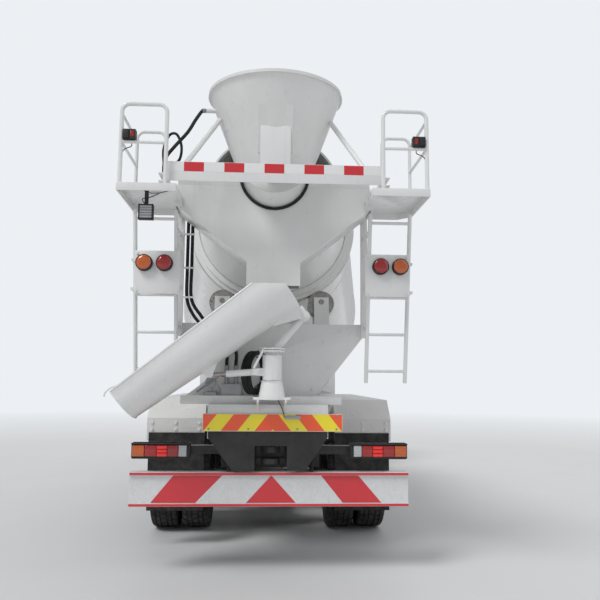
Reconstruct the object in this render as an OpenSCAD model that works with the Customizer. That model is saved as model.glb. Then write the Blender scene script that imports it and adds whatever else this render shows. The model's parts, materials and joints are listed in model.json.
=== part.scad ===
// Concrete mixer truck with three axles and a cab over the engine.
// Millimetres. The truck faces +Y, +X is its right side, Z is up from the ground.

/* [Overall] */
// Bumper to hopper rim
total_length = 9500; // [9400:50:9700]
// Outer width of the cab
cab_w = 2460; // [2380:10:2490]
// Running clearance on a radius
run_gap = 0.05; // [0.03:0.01:0.08]
// Clearance between seated pieces
seat_gap = 0.3; // [0.2:0.05:0.5]

/* [Wheels] */
// Tyre outer radius
tyre_r = 535; // [525:5:545]
// Tyre width
tyre_w = 285; // [275:5:290]
// Bead seat radius of the rim
rim_r = 254; // [248:2:258]
// Front track
front_track = 2010; // [1990:10:2030]
// Track to the middle of the twin pairs
rear_track = 1860; // [1850:5:1870]
// Distance between the two tyres of a pair
twin_pitch = 330; // [320:5:335]
// Radius of the wheel spindles
spindle_r = 50; // [45:1:55]

/* [Axles] */
// Front axle position along the truck
front_axle_y = 3250; // [3200:10:3300]
// Middle axle position
mid_axle_y = -600; // [-650:10:-550]
// Last axle position
last_axle_y = -1950; // [-2000:10:-1900]
// Kingpin distance from the middle
kingpin_x = 820; // [815:1:824]

/* [Chassis] */
// Half width over the rails
rail_x = 425; // [415:5:435]
// Rail height
rail_h = 280; // [260:5:300]
// Rail flange width
rail_flange = 80; // [70:5:90]
// Rail thickness
rail_t = 10; // [8:1:14]
// Height of the rail tops
rail_top = 1100; // [1080:5:1110]
// Rear end of the rails
rail_y0 = -3680; // [-3700:10:-3650]
// Front end of the rails
rail_y1 = 4330; // [4280:10:4400]
// Height of the mixer sub-frame over the rails
sub_h = 80; // [60:5:90]

/* [Drum] */
// Tilt of the drum axis in degrees
drum_tilt = 12.8; // [12.5:0.1:13.2]
// Largest drum radius
drum_r = 1140; // [1100:5:1150]
// Radius at the drum mouth
mouth_r = 600; // [580:5:610]
// Mouth centre along the truck
mouth_y = -3782; // [-3790:2:-3774]
// Height of the mouth centre
mouth_z = 3272; // [3268:1:3276]
// Drum shell thickness
drum_t = 8; // [6:1:12]
// Drum length along its axis
drum_len = 5720; // [5700:5:5730]
// Roller ring radius
ring_r = 810; // [790:5:820]
// Roller ring position along the axis
ring_s = 4960; // [4900:10:5000]
// Support roller radius
roller_r = 125; // [115:5:130]
// Support roller width
roller_w = 120; // [100:5:130]

/* [Hopper and funnel] */
// Hopper rim radius
hopper_r = 560; // [540:5:575]
// Hopper rim height
hopper_z = 3950; // [3900:10:3980]
// Hopper neck radius
neck_r = 265; // [255:5:270]
// Drop of the neck below the drum axis
neck_drop = 77; // [70:1:80]
// Rear face of the funnel
funnel_y = -4200; // [-4230:5:-4180]
// Height of the funnel top
funnel_z1 = 3190; // [3160:5:3210]
// Height of the funnel outlet
funnel_z0 = 2360; // [2350:2:2370]
// Half width of the funnel top
funnel_x1 = 800; // [790:2:804]
// Height where the funnel sides turn in
funnel_zk = 3010; // [3000:2:3020]
// Height of the top of the spout
spout_z = 2555; // [2545:5:2570]
// Half width of the spout
funnel_x0 = 220; // [210:2:230]

/* [Chute] */
// Trough radius at the tip
chute_rt = 200; // [190:5:205]
// Trough radius under the funnel
chute_ru = 305; // [300:2:310]
// Trough thickness
chute_t = 5; // [4:1:8]
// Lowest point of the tip, sideways
tip_x = -1080; // [-1100:5:-1060]
// Lowest point of the tip, height
tip_z = 1290; // [1270:5:1310]
// Swivel post position along the truck
post_y = -4150; // [-4160:5:-4140]

/* [Rear equipment] */
// Height of the work platforms
deck_z = 3000; // [2960:10:3040]
// Inner face of the beam arms
arm_x = 840; // [838:1:844]
// Rear beam face along the truck
beam_y = -4600; // [-4620:5:-4580]
// Under-run bumper rear face
bumper_y = -3875; // [-3900:5:-3850]
// Under-run bumper half width
bumper_x = 1165; // [1150:5:1180]

/* [Cab] */
// Cab floor height
floor_z = 1180; // [1170:5:1200]
// Cab roof height
roof_z = 2960; // [2900:10:3000]
// Rear wall of the cab
cab_y0 = 2620; // [2600:10:2650]
// Corner radius of the cab front in plan
cab_corner = 300; // [280:10:310]
// Corner radius of the roof sides
roof_corner = 130; // [120:5:140]
// Wall thickness
wall = 60; // [50:5:70]
// Glass thickness
glass_t = 6; // [5:1:8]
// Front edge of the doors
door_y1 = 4180; // [4150:10:4200]
// Rear edge of the doors
door_y0 = 3060; // [3030:10:3080]
// Gap round the doors
door_gap = 8; // [6:1:10]

/* [Selection] */
// Piece to show

/* [Hidden] */
$fn = 64;
front_y = total_length / 2;
rear_y = -total_length / 2;
// Rear face of the stand plates and of the columns on them
stand_y = -3700;
column_y = -3760;
dc = cos(drum_tilt);
ds = sin(drum_tilt);
drum_y0 = mouth_y + drum_len * dc;
drum_z0 = mouth_z - drum_len * ds;
hopper_y = rear_y + hopper_r;
roller_a = 30;
roller_off = ring_r + roller_r + 0.5;
rail_z0 = rail_top - rail_h;
axle_z = tyre_r;
sub_top = rail_top + sub_h;
white = [0.90, 0.90, 0.89];
steel_black = [0.05, 0.05, 0.06];
rubber_black = [0.03, 0.03, 0.03];
grey = [0.55, 0.56, 0.58];
cab_front = front_y - 60;
half_cab = cab_w / 2;
rim_half = 105;
// Tilt pin of the chute and pins of its jack
pin_x = 255;
tilt_y = 4560;
tilt_z = 1050;
hinge_y = door_y1 + 43;
pin_z = 2112;
foot_x = -130;
foot_z = 1660;
eye_x = -500;
eye_z = 1635;
// Water hoses and the coil on its hook
hose_y = column_y + 19;
hose_d = 30;
coil_x = -136;
coil_y = -3890;
coil_z = 1658;
coil_r = 170;
coil_d = 34;
coil_turn = 64;

// Helpers

// Box from low corner to high corner
module box(a, b) {
    translate(a) cube([b[0] - a[0], b[1] - a[1], b[2] - a[2]]);
}

// Round bar between two points
module rod(a, b, d) {
    v = b - a;
    n = norm(v);
    translate(a) rotate([0, acos(v[2] / n), atan2(v[1], v[0])]) cylinder(h = n, d = d);
}

// Both sides of the truck
module both() {
    children();
    mirror([1, 0, 0]) children();
}

// Outline in Y and Z, extruded along X from x0 to x1
module side_plate(pts, x0, x1) {
    translate([x0, 0, 0]) rotate([90, 0, 90]) linear_extrude(x1 - x0) polygon(pts);
}

// Outline in X and Z, extruded along Y from y0 to y1
module face_plate(pts, y0, y1) {
    translate([0, y1, 0]) rotate([90, 0, 0]) linear_extrude(y1 - y0) polygon(pts);
}

// Box outline with round corners
module rounded(a, b, r) {
    translate([a[0] + r, a[1]]) square([b[0] - a[0] - 2 * r, b[1] - a[1]]);
    translate([a[0], a[1] + r]) square([b[0] - a[0], b[1] - a[1] - 2 * r]);
    for (x = [a[0] + r, b[0] - r], y = [a[1] + r, b[1] - r]) translate([x, y]) circle(r);
}

// Frame of the drum: Z runs along the drum axis towards the mouth
module on_drum(s = 0) {
    translate([0, drum_y0, drum_z0]) rotate([90 - drum_tilt, 0, 0]) translate([0, 0, s]) children();
}

// Axis along X, outboard is +X
module on_x() {
    rotate([0, 90, 0]) children();
}

// Hose through hand picked points, one swept ring of sides at each point
function unit(v) = v / norm(v);
function tangent(p, i) = unit(p[min(i + 1, len(p) - 1)] - p[max(i - 1, 0)]);
function spline_at(p, i, t) = let(
    a = p[max(i - 1, 0)], b = p[i], c = p[i + 1], d = p[min(i + 2, len(p) - 1)])
    0.5 * (2 * b + (c - a) * t + (2 * a - 5 * b + 4 * c - d) * t * t
    + (3 * b - a - 3 * c + d) * t * t * t);
function smooth(p, k) = concat(
    [for (i = [0:len(p) - 2]) for (j = [0:k - 1]) spline_at(p, i, j / k)], [p[len(p) - 1]]);
function first_normal(t) = unit(cross(t, abs(t[2]) > 0.8 ? [1, 0, 0] : [0, 0, 1]));
function carry(n, t) = unit(n - (n * t) * t);
function normals(p, i = 0, n = undef) = i >= len(p) ? [] :
    let(t = tangent(p, i), m = n == undef ? first_normal(t) : carry(n, t))
    concat([m], normals(p, i + 1, m));

module hose(pts, d, k = 4, sides = 10) {
    p = smooth(pts, k);
    n = normals(p);
    rings = len(p);
    v = [for (i = [0:rings - 1]) let(t = tangent(p, i), b = cross(t, n[i]))
        for (j = [0:sides - 1]) p[i] + d / 2 * (cos(360 * j / sides) * n[i] + sin(360 * j / sides) * b)];
    f = concat(
        [[for (j = [sides - 1:-1:0]) j]],
        [for (i = [0:rings - 2]) for (j = [0:sides - 1]) let(k2 = (j + 1) % sides)
            [i * sides + j, i * sides + k2, (i + 1) * sides + k2, (i + 1) * sides + j]],
        [[for (j = [0:sides - 1]) (rings - 1) * sides + j]]);
    polyhedron(v, f, convexity = 6);
}

// Chassis

module c_rail(y0, y1, z0, z1, xo, fl, t) {
    difference() {
        box([xo - fl, y0, z0], [xo, y1, z1]);
        box([xo - fl - 1, y0 - 1, z0 + t], [xo - t, y1 + 1, z1 - t]);
    }
}

module frame_rails() {
    color(steel_black) union() {
        both() c_rail(rail_y0, rail_y1, rail_z0, rail_top, rail_x, rail_flange, rail_t);
        // Cross members: middle along the truck, depth along the truck
        for (m = [[-3640, 80], [-2820, 100], [-1275, 240], [160, 120], [1350, 120], [1940, 100], [4270,
            120]])
            translate([0, m[0], 0]) difference() {
                box([-rail_x + rail_t - 2, -m[1] / 2, rail_z0 + 30], [rail_x - rail_t + 2, m[1] / 2,
                    rail_top - 30]);
                box([-rail_x + rail_t - 3, -m[1] / 2 + 10, rail_z0 + 40], [rail_x - rail_t + 3,
                    m[1] / 2 + 1, rail_top - 40]);
            }
        // Rear tow jaw with an upright pin hole
        difference() {
            union() {
                box([-120, -3740, 890], [120, rail_y0 + 10, 1030]);
                translate([0, -3740, 890]) cylinder(h = 140, r = 80);
            }
            box([-160, -3830, 935], [160, -3700, 985]);
            translate([0, -3740, 880]) cylinder(h = 160, r = 20);
        }
        both() {
            // Carrier of the tail lamps
            box([rail_x - rail_flange, -3775, 970], [1140, rail_y0 + 5, 1040]);
            // Rear cab rest
            box([rail_x - 75, 2700, rail_top - 5], [rail_x - 5, 2790, floor_z - seat_gap]);
            // Cab pivot ears and pins
            side_plate([[4280, rail_z0 + 60], [4600, rail_z0 + 60], [4600, 1065], [tilt_y, 1090], [4500,
                1065], [4280, 1090]], rail_x - rail_flange, rail_x - 60);
            translate([rail_x - 130, tilt_y, tilt_z]) on_x() cylinder(h = 80, r = 16);
            // Front spring hangers
            for (s = [-1, 1]) translate([0, front_axle_y + s * (745 + seat_gap), 0])
                box([rail_x - 75, -45, 660], [rail_x - 5, 45, rail_z0 + 5]);
            // Bogie pivot bracket
            side_plate([[-1500, rail_z0 + 5], [-1050, rail_z0 + 5], [-1180, 700 + seat_gap], [-1370,
                700 + seat_gap]], rail_x - 70, rail_x - 8);
        }
    }
}

module sub_frame() {
    z0 = rail_top + seat_gap;
    color(white) union() {
        both() {
            c_rail(-2900, 2050, z0, sub_top, rail_x, 90, 10);
            // Raised rear part with a sloping step
            side_plate([[-3800, z0], [-2640, z0], [-2640, sub_top], [-2900, 1390], [-3800, 1390]],
                rail_x - 12, rail_x);
            // Side ties down to the rails
            for (y = [-2300, -1250, 300, 1200])
                union() {
                    box([rail_x + seat_gap, y - 50, rail_top - 120], [rail_x + 12, y + 50, sub_top]);
                    box([rail_x - 5, y - 50, z0], [rail_x + 12, y + 50, sub_top]);
                }
        }
        for (y = [-2860, -1300, 0, 1250, 2000])
            box([-rail_x + 2, y - 40, z0 + 4], [rail_x - 2, y + 40, sub_top - 4]);
        // Rear end box and base beam
        difference() {
            box([-530, -3900, z0 + 10], [480, -3799, 1391]);
            box([-520, -3890, z0], [470, -3811, 1380]);
        }
        box([-770, -3830, 1390], [600, -3690, 1460]);
        // Foot of the chute post
        difference() {
            union() {
                face_plate([[-150, 1440], [150, 1440], [150, 1460], [-150, 1460]], post_y - 60, -3829);
                for (x = [-120, 104]) side_plate([[-3891, 1330], [-3891, 1441], [post_y - 60, 1441],
                    [post_y - 60, 1420]], x, x + 16);
                translate([0, post_y, 1440]) cylinder(h = 150, r1 = 112, r2 = 84);
            }
            translate([0, post_y, 1470]) cylinder(h = 130, r = 45 + run_gap);
        }
    }
}

// Stand that carries the drum gearbox behind the cab
module front_stand() {
    color(white) union() {
        both() {
            side_plate([[1760, sub_top + seat_gap], [2040, sub_top + seat_gap], [2010, drum_z0 + 130],
                [1880, drum_z0 + 130]], 300, 312);
            side_plate([[1760, sub_top + seat_gap], [2040, sub_top + seat_gap], [2030, sub_top + 12],
                [1775, sub_top + 12]], 250, 415);
        }
        difference() {
            face_plate([[-312, sub_top + 10], [312, sub_top + 10], [312, drum_z0 + 130], [240,
                drum_z0 + 260], [-240, drum_z0 + 260], [-312, drum_z0 + 130]], 1930, 1950);
            translate([0, 1900, drum_z0 - (1940 - drum_y0) * tan(drum_tilt)]) rotate([-90, 0,
                0]) cylinder(h = 100, r = 190);
            box([-200, 1900, sub_top + 90], [200, 2000, sub_top + 330]);
        }
    }
}

// Reducer and hydraulic motor that turn the drum
module drum_gearbox() {
    color(grey) on_drum() union() {
        translate([0, 0, -60]) cylinder(h = 59, r = 230);
        translate([0, 0, -330]) cylinder(h = 275, r = 180);
        translate([0, 0, -420]) cylinder(h = 100, r = 130);
        translate([0, 0, -640]) cylinder(h = 225, r = 90);
        translate([-60, -150, -640]) cube([120, 110, 130]);
    }
}

// Plate stand with the roller brackets and the rear columns
module rear_stand() {
    color(white) union() {
        // Trapezoid plates, rear and front
        for (y = [stand_y, -3130])
            difference() {
                face_plate([[-800, 2090], [800, 2090], [800, 1970], [400, 1460 + seat_gap], [-400,
                    1460 + seat_gap], [-800, 1970]], y, y + 12);
                if (y > stand_y) face_plate([[-330, 1960], [330, 1960], [240, 1600], [-240, 1600]],
                    y - 1, y + 13);
            }
        // Top plate and foot plates
        box([-800, stand_y, 2078], [800, -3118, 2090]);
        both() {
            box([300, -3690, 1390 + seat_gap], [rail_x - 1, -3118, 1402]);
            box([rail_x - 60, -3690, 1400], [rail_x - 46, -3118, 2080]);
            // Columns
            box([785, column_y, 1970], [arm_x - seat_gap, stand_y, funnel_z1]);
            box([760, stand_y - 12, 1985], [825, stand_y + 10, 2075]);
        }
        // Clips of the water hoses, hook of the hose coil and a corner plate
        for (z = [2300, 2560, 2860]) box([-790, column_y - 6, z], [-690, hose_y - hose_d / 2 - seat_gap,
            z + 16]);
        coil_hook();
        face_plate([[-740, 1460 + seat_gap], [-395, 1460 + seat_gap], [-505, 1610], [-540, 1610]],
            stand_y, stand_y + 12);
        // Roller brackets
        for (sx = [-1, 1]) roller_bracket(sx);
    }
}

// Hook of the hose coil: a pad, an arm and a peg square to the coil
module coil_hook() {
    z = coil_z + coil_r - coil_d / 2 - 8 - seat_gap;
    elbow = [coil_x + 120 * sin(coil_turn), coil_y - 120 * cos(coil_turn), z];
    box([elbow[0] - 25, stand_y - 6, z - 25], [elbow[0] + 25, stand_y + 4, z + 25]);
    rod([elbow[0], stand_y + 5, z], elbow, 16);
    translate(elbow) sphere(10);
    rod(elbow, [coil_x - 60 * sin(coil_turn), coil_y + 60 * cos(coil_turn), z], 16);
}

module at_roller(sx) {
    on_drum(ring_s) rotate([0, 0, 180]) translate([-sx * roller_off * sin(roller_a),
        -roller_off * cos(roller_a) * -1, 0]) children();
}

module roller_bracket(sx) {
    difference() {
        union() {
            for (s = [-1, 1])
                intersection() {
                    at_roller(sx) translate([-70, -45, s * 92 - 10]) cube([140, 445, 20]);
                    box([-800, -3700, 2080], [800, -2900, 2600]);
                }
        }
        at_roller(sx) translate([0, 0, -200]) cylinder(h = 400, r = 25 + run_gap);
    }
}

// Roller on its own shaft
module roller(sx) {
    color([0.4, 0.4, 0.42]) at_roller(sx) union() {
        translate([0, 0, -roller_w / 2]) cylinder(h = roller_w, r = roller_r);
        translate([0, 0, -106]) cylinder(h = 212, r = 25);
        for (s = [-1, 1]) translate([0, 0, s * (roller_w / 2 + 8) - 8]) cylinder(h = 16, r = 60);
    }
}
module roller_left() { roller(-1); }
module roller_right() { roller(1); }

// Drum

// Outer outline of the shell: position along the axis, radius
drum_outline = [
    [0, 260], [30, 560], [110, 760], [230, 860], [1330, drum_r], [2600, drum_r],
    [4560, 820], [drum_len - 60, mouth_r - 10], [drum_len, mouth_r - 10]];

module drum() {
    color(white) union() {
        on_drum() difference() {
            rotate_extrude() polygon(concat([[0, 0]], [for (p = drum_outline) [p[1], p[0]]], [[0,
                drum_len]]));
            rotate_extrude() polygon(concat([[0, drum_t + 12]],
                [for (i = [1:7]) [drum_outline[i][1] - drum_t, drum_outline[i][0] + (i < 3 ? drum_t : 0)]],
                [[mouth_r - 10 - drum_t, drum_len + 1], [0, drum_len + 1]]));
        }
        // Roller ring and its welded web
        on_drum(ring_s) difference() {
            union() {
                translate([0, 0, -45]) cylinder(h = 90, r = ring_r);
                translate([0, 0, -75]) cylinder(h = 150, r = ring_r - 35);
            }
            translate([0, 0, -80]) cylinder(h = 160, r = 725);
        }
        // Washing hatch on the belly
        on_drum(1700) rotate([0, 0, 55]) translate([-drum_r - 26, -170, 0]) cube([60, 340, 480]);
        // Mouth ring
        on_drum(drum_len - 50) difference() {
            cylinder(h = 50, r = mouth_r);
            translate([0, 0, -1]) cylinder(h = 52, r = mouth_r - 14);
        }
    }
}

// Hopper, funnel and platforms

module feed_hopper() {
    low = mouth_z + 78;
    color(white) difference() {
        union() {
            translate([0, hopper_y, low]) cylinder(h = hopper_z - low - 12, r1 = neck_r + 60,
                r2 = hopper_r - 12);
            translate([0, hopper_y, hopper_z - 24]) cylinder(h = 24, r = hopper_r);
            on_drum(drum_len - 250) translate([0, -neck_drop, 0]) cylinder(h = 840, r = neck_r);
            // Stub of the wash hose
            rod([-440, -4260, 3800], [-570, -4260, 3800], 36);
            // Flat panel on the rear
            translate([0, hopper_y, 0]) side_plate([[-330, low + 20], [-290, low + 20], [-330,
                low + 360], [-455, low + 360]], -135, 135);
        }
        translate([0, hopper_y, low - 1]) cylinder(h = hopper_z - low + 2, r1 = neck_r + 52,
            r2 = hopper_r - 15);
        on_drum(drum_len - 251) translate([0, -neck_drop, 0]) cylinder(h = 831, r = neck_r - 8);
    }
}

// Front outline of the funnel: a box with a V below it and a straight spout
funnel_front = [[-funnel_x1, funnel_z1], [funnel_x1, funnel_z1], [funnel_x1, funnel_zk],
    [funnel_x0, spout_z], [funnel_x0, funnel_z0], [-funnel_x0, funnel_z0],
    [-funnel_x0, spout_z], [-funnel_x1, funnel_zk]];

module discharge_funnel() {
    t = 8;
    y1 = column_y - seat_gap;
    yb = funnel_y + 180;
    lip = [[yb, funnel_z0], [y1, spout_z + 10]];
    color(white) difference() {
        intersection() {
            face_plate(funnel_front, funnel_y, y1);
            side_plate(concat([[funnel_y, funnel_z0]], lip, [[y1, funnel_z1], [funnel_y, funnel_z1]]),
                -900, 900);
        }
        intersection() {
            translate([0, y1 + 1, 0]) rotate([90, 0, 0]) linear_extrude(y1 - funnel_y + 1) union() {
                offset(delta = -t) polygon(funnel_front);
                translate([t - funnel_x0, funnel_z0 - 1]) square([2 * (funnel_x0 - t), 50]);
                translate([t - funnel_x1, funnel_z1 - 50]) square([2 * (funnel_x1 - t), 51]);
            }
            side_plate([[funnel_y + t, funnel_z0 - 2], [yb - t * 1.3, funnel_z0 - 2],
                [y1 + 2, spout_z + 24], [y1 + 2, funnel_z1 + 2], [funnel_y + t, funnel_z1 + 2]], -900, 900);
        }
        // Hole for the hopper neck
        on_drum(drum_len) translate([0, -neck_drop, 0]) cylinder(h = 700, r = neck_r + 22);
    }
}

// Plan outline of a deck plate, cut away beside the funnel
deck = [[745, -4660], [1190, -4660], [1190, -4020], [1080, -3900],
    [funnel_x1 + 8, -3900], [funnel_x1 + 8, funnel_y - 8], [745, funnel_y - 8]];

module platforms() {
    color(white) union() {
        // Rear beam across the funnel top
        difference() {
            box([-850, beam_y, 3100], [850, beam_y + 90, 3250]);
            box([-842, beam_y + 8, 3090], [842, beam_y + 100, 3242]);
        }
        both() {
            // Arms from the beam past the funnel to the columns
            difference() {
                box([arm_x, beam_y + 60, 3110], [arm_x + 60, -3640, 3180]);
                box([arm_x + 8, beam_y + 59, 3118], [arm_x + 61, -3639, 3172]);
            }
            for (y = [beam_y + 66, -3970]) box([arm_x + 1, y, deck_z + 55], [arm_x + 9, y + 50, 3114]);
            // Tabs that hold the funnel
            for (y = [-4150, -3850]) box([funnel_x1 + seat_gap, y, 3125], [arm_x + 5, y + 40, 3165]);
            // Deck plate with rim
            difference() {
                translate([0, 0, deck_z]) linear_extrude(60) polygon(deck);
                translate([0, 0, deck_z - 1]) linear_extrude(53) offset(delta = -8) polygon(deck);
            }
            // Hopper stays
            rod([451.5, -4328.8, 3700], [710, beam_y + 46, 3221], 42);
        }
    }
}

module hoop(y, x0, x1, z0, z1, d, r) {
    for (x = [x0, x1]) translate([x, y, z0]) cylinder(h = z1 - r - z0, d = d);
    translate([x0 + r, y, z1]) rotate([0, 90, 0]) cylinder(h = x1 - x0 - 2 * r, d = d);
    translate([x0 + r, y, z1 - r]) rotate([90, 0, 180]) rotate_extrude(angle = 90) translate([r,
        0]) circle(d = d);
    translate([x1 - r, y, z1 - r]) rotate([90, 0, 0]) rotate_extrude(angle = 90) translate([r,
        0]) circle(d = d);
}

module guard_rails() {
    function lad_y(z) = -3830 - (z - 1580) * 0.2;
    inner_x = 812;
    color(white) both() {
        hoop(-4640, 830, 1170, deck_z + 60 + seat_gap, 3680, 32, 60);
        rod([830, -4640, 3380], [1170, -4640, 3380], 26);
        hoop(-4060, 925, 1165, deck_z + 60 + seat_gap, 3680, 28, 60);
        rod([1168, -4640, 3380], [1166, -4060, 3380], 24);
        rod([1168, -4640, 3600], [1166, -4060, 3600], 24);
        // Ladder rails, rungs and ties to the stand
        for (x = [inner_x, 1150]) {
            rod([x, lad_y(deck_z - seat_gap), deck_z - 5], [x, lad_y(1580), 1580], 34);
            for (z = [2330, 2570]) box([x - 15, -4118, z - 10], [x + 15, lad_y(z), z + 10]);
        }
        for (g = [0:4])
            rod([inner_x, lad_y(1680 + g * 310), 1680 + g * 310], [1150, lad_y(1680 + g * 310),
                1680 + g * 310], 26);
        for (z = [2050, 2850]) box([inner_x - 14, lad_y(z), z - 10], [inner_x + 14, column_y - seat_gap,
            z + 10]);
    }
}

module rear_boards() {
    color(white) union() {
        both() box([765, -4130, 2290], [1135, -4118, 2645]);
        box([-570, -3912, 1170], [600, -3904, 1315]);
        // Struts to the end box
        for (x = [-400, 350]) box([x, -3905, 1200], [x + 60, -3900 - seat_gap, 1300]);
    }
}

module rear_bumper() {
    y = bumper_y;
    color(white) union() {
        difference() {
            box([-bumper_x, y, 555], [bumper_x, y + 120, 830]);
            box([-bumper_x + 8, y + 32, 575], [bumper_x - 8, y + 130, 810]);
            box([-bumper_x - 1, y - 1, 578], [bumper_x + 1, y + 24, 807]);
        }
        // Arms to the rail ends
        both() side_plate([[y + 28, 600], [y + 28, 790], [y + 115, 968], [rail_y0 - seat_gap, 968],
            [rail_y0 - seat_gap, rail_z0 + 5], [y + 130, 600]], rail_x - 78, rail_x - 60);
    }
}

module lamps() {
    color([0.7, 0.1, 0.1]) both() {
        box([680, bumper_y + 10, 940], [1150, -3775 - seat_gap, 1070]);
        for (l = [890, 1055]) translate([l, -4117 - 13 - seat_gap, 2540]) rotate([90, 0,
            0]) cylinder(h = 40, r = 68);
        // Box lamps on the hoops
        box([1058, -4672, 3380 + 13 + seat_gap], [1154 - seat_gap, -4612, 3470]);
        // Head lamps
        box([775 + seat_gap, front_y - 59, 735 + seat_gap], [1060 - seat_gap, front_y - 10,
            905 - seat_gap]);
    }
    // Work lamp under the left platform
    color([0.1, 0.1, 0.1]) union() {
        box([-1040, -4540, 2810], [-930, -4490, 2925]);
        box([-1000, -4520, 2924], [-970, -4512, deck_z + 52 - seat_gap]);
    }
}

module mudguards() {
    color(white) both() {
        // Rear tread plate panels stepping down behind the last wheels
        side_plate([[-2480, 1400], [-2480, 1392], [-2700, 1392], [-2892, 1214], [-2892, 1000], [-2900,
            1000], [-2900, 1220], [-2704, 1400]], 640, 1200);
        // Cover over both rear axles
        side_plate([[-2481, 1400], [-2481, 1392], [120, 1392], [330, 1200], [330, 1000], [338, 1000],
            [338, 1204], [124, 1400]], 640, 1200);
        for (y = [-2740, -1400, 60]) {
            box([rail_x + seat_gap, y - 35, 1020], [rail_x + 8, y + 35, 1095]);
            rod([rail_x + 18, y, 1058], [660, y, 1391], 40);
        }
        // Front wheel covers
        side_plate([[2610, 850], [2618, 850], [2804, 1122], [3696, 1122], [3882, 850], [3890, 850],
            [3700, 1130], [2800, 1130]], 800, 1195);
        for (y = [2900, 3600]) box([rail_x + seat_gap, y - 20, 1060], [815, y + 20, 1121.9]);
    }
}

module mud_flaps() {
    color(rubber_black) both() {
        box([640, -2908, 340], [1180, -2900.5, 1080]);
        box([640, 338.5, 400], [1180, 346, 1080]);
    }
}

module water_tank() {
    color(white) union() {
        translate([860, 1350, 1150]) rotate([90, 0, 0]) cylinder(h = 900, r = 270, center = true);
        for (y = [1050, 1650]) box([rail_x + seat_gap, y - 40, 900], [700, y + 40, 1060]);
    }
}

module fuel_tank() {
    color(grey) union() {
        translate([0, 1750, 0]) rotate([90, 0, 0]) linear_extrude(850) rounded([-1180, 500],
            [-rail_x - 60, 1060], 130);
        // Filler neck
        translate([-1040, 1500, 980]) cylinder(h = 110, r = 45);
        for (y = [1050, 1600]) box([-rail_x - 62, y - 30, 860], [-rail_x - seat_gap, y + 30, 1060]);
    }
}

module air_tanks() {
    color(steel_black) union() {
        box([rail_x + 40, 900, 600], [rail_x + 300, 1300, 850]);
        for (y = [1500, 1850]) translate([rail_x + 140, y, 720]) rotate([90, 0, 0]) cylinder(h = 300,
            r = 125, center = true);
        for (y = [1000, 1200, 1500, 1850]) box([rail_x + seat_gap, y - 20, 822], [rail_x + 120, y + 20,
            850]);
    }
}

module engine() {
    color(grey) union() {
        box([-330, 2900, 640], [330, 4150, 1150]);
        box([-200, 2050, 700], [200, 2901, 1080]);
        // Mounting feet between the rail flanges
        both() for (y = [3080, 3880]) box([325, y, 900], [rail_x - rail_t - seat_gap, y + 80, 940]);
    }
}

module front_axle() {
    end_x = kingpin_x - 45;
    color(steel_black) union() {
        // Dropped beam
        face_plate([[-end_x, 505], [-640, 440], [640, 440], [end_x, 505], [end_x, 585], [620, 540],
            [-620, 540], [-end_x, 585]], front_axle_y - 45, front_axle_y + 45);
        both() {
            difference() {
                union() {
                    translate([kingpin_x, front_axle_y, 500]) cylinder(h = 90, r = 55);
                    box([end_x - 10, front_axle_y - 40, 500], [kingpin_x, front_axle_y + 40, 590]);
                }
                translate([kingpin_x, front_axle_y, 490]) cylinder(h = 110, r = 22 + run_gap);
            }
            // Leaf springs
            for (i = [0:3])
                box([rail_x - 80, front_axle_y - 700 + i * 140, 690 - i * 14 - 14], [rail_x,
                    front_axle_y + 700 - i * 140, 690 - i * 14]);
            box([rail_x - 85, front_axle_y - 90, 530], [rail_x + 5, front_axle_y + 90, 705]);
        }
    }
}

module drive_axles() {
    color(steel_black) union() {
        for (y = [mid_axle_y, last_axle_y]) {
            translate([0, y, axle_z]) on_x() cylinder(h = 1500, r = 75, center = true);
            translate([0, y, axle_z]) on_x() cylinder(h = 320, r = 215, center = true);
            translate([0, y + 20, axle_z]) rotate([-90, 0, 0]) cylinder(h = 330, r = 110);
            both() {
                translate([rear_track / 2 - 190, y, axle_z]) on_x() cylinder(h = 20, r = 205);
                translate([rear_track / 2 - 220, y, axle_z]) on_x() cylinder(h = 330, r = spindle_r);
            }
        }
        both() {
            // Bogie springs
            for (i = [0:5])
                box([rail_x - 80, -1275 - 760 + i * 100, 690 - i * 18 - 17], [rail_x,
                    -1275 + 760 - i * 100, 690 - i * 18]);
            box([rail_x - 85, -1375, 555], [rail_x + 5, -1175, 700]);
            // Spring seats on the axle tubes
            for (y = [mid_axle_y, last_axle_y]) box([rail_x - 75, y - 40, 595], [rail_x - 5, y + 40, 674]);
        }
        // Propeller shafts
        rod([0, mid_axle_y + 340, axle_z], [0, 2038, 775], 110);
        rod([0, last_axle_y + 340, axle_z], [0, mid_axle_y - 200, axle_z], 100);
    }
}

module exhaust() {
    color(grey) union() {
        translate([-rail_x - 300, 2200, 750]) rotate([90, 0, 0]) cylinder(h = 600, r = 150, center = true);
        rod([-rail_x - 300, 2480, 750], [-385, 2930, 750], 90);
        box([-rail_x - 170, 2000, 822], [-rail_x - seat_gap, 2060, 880]);
    }
}

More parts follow.
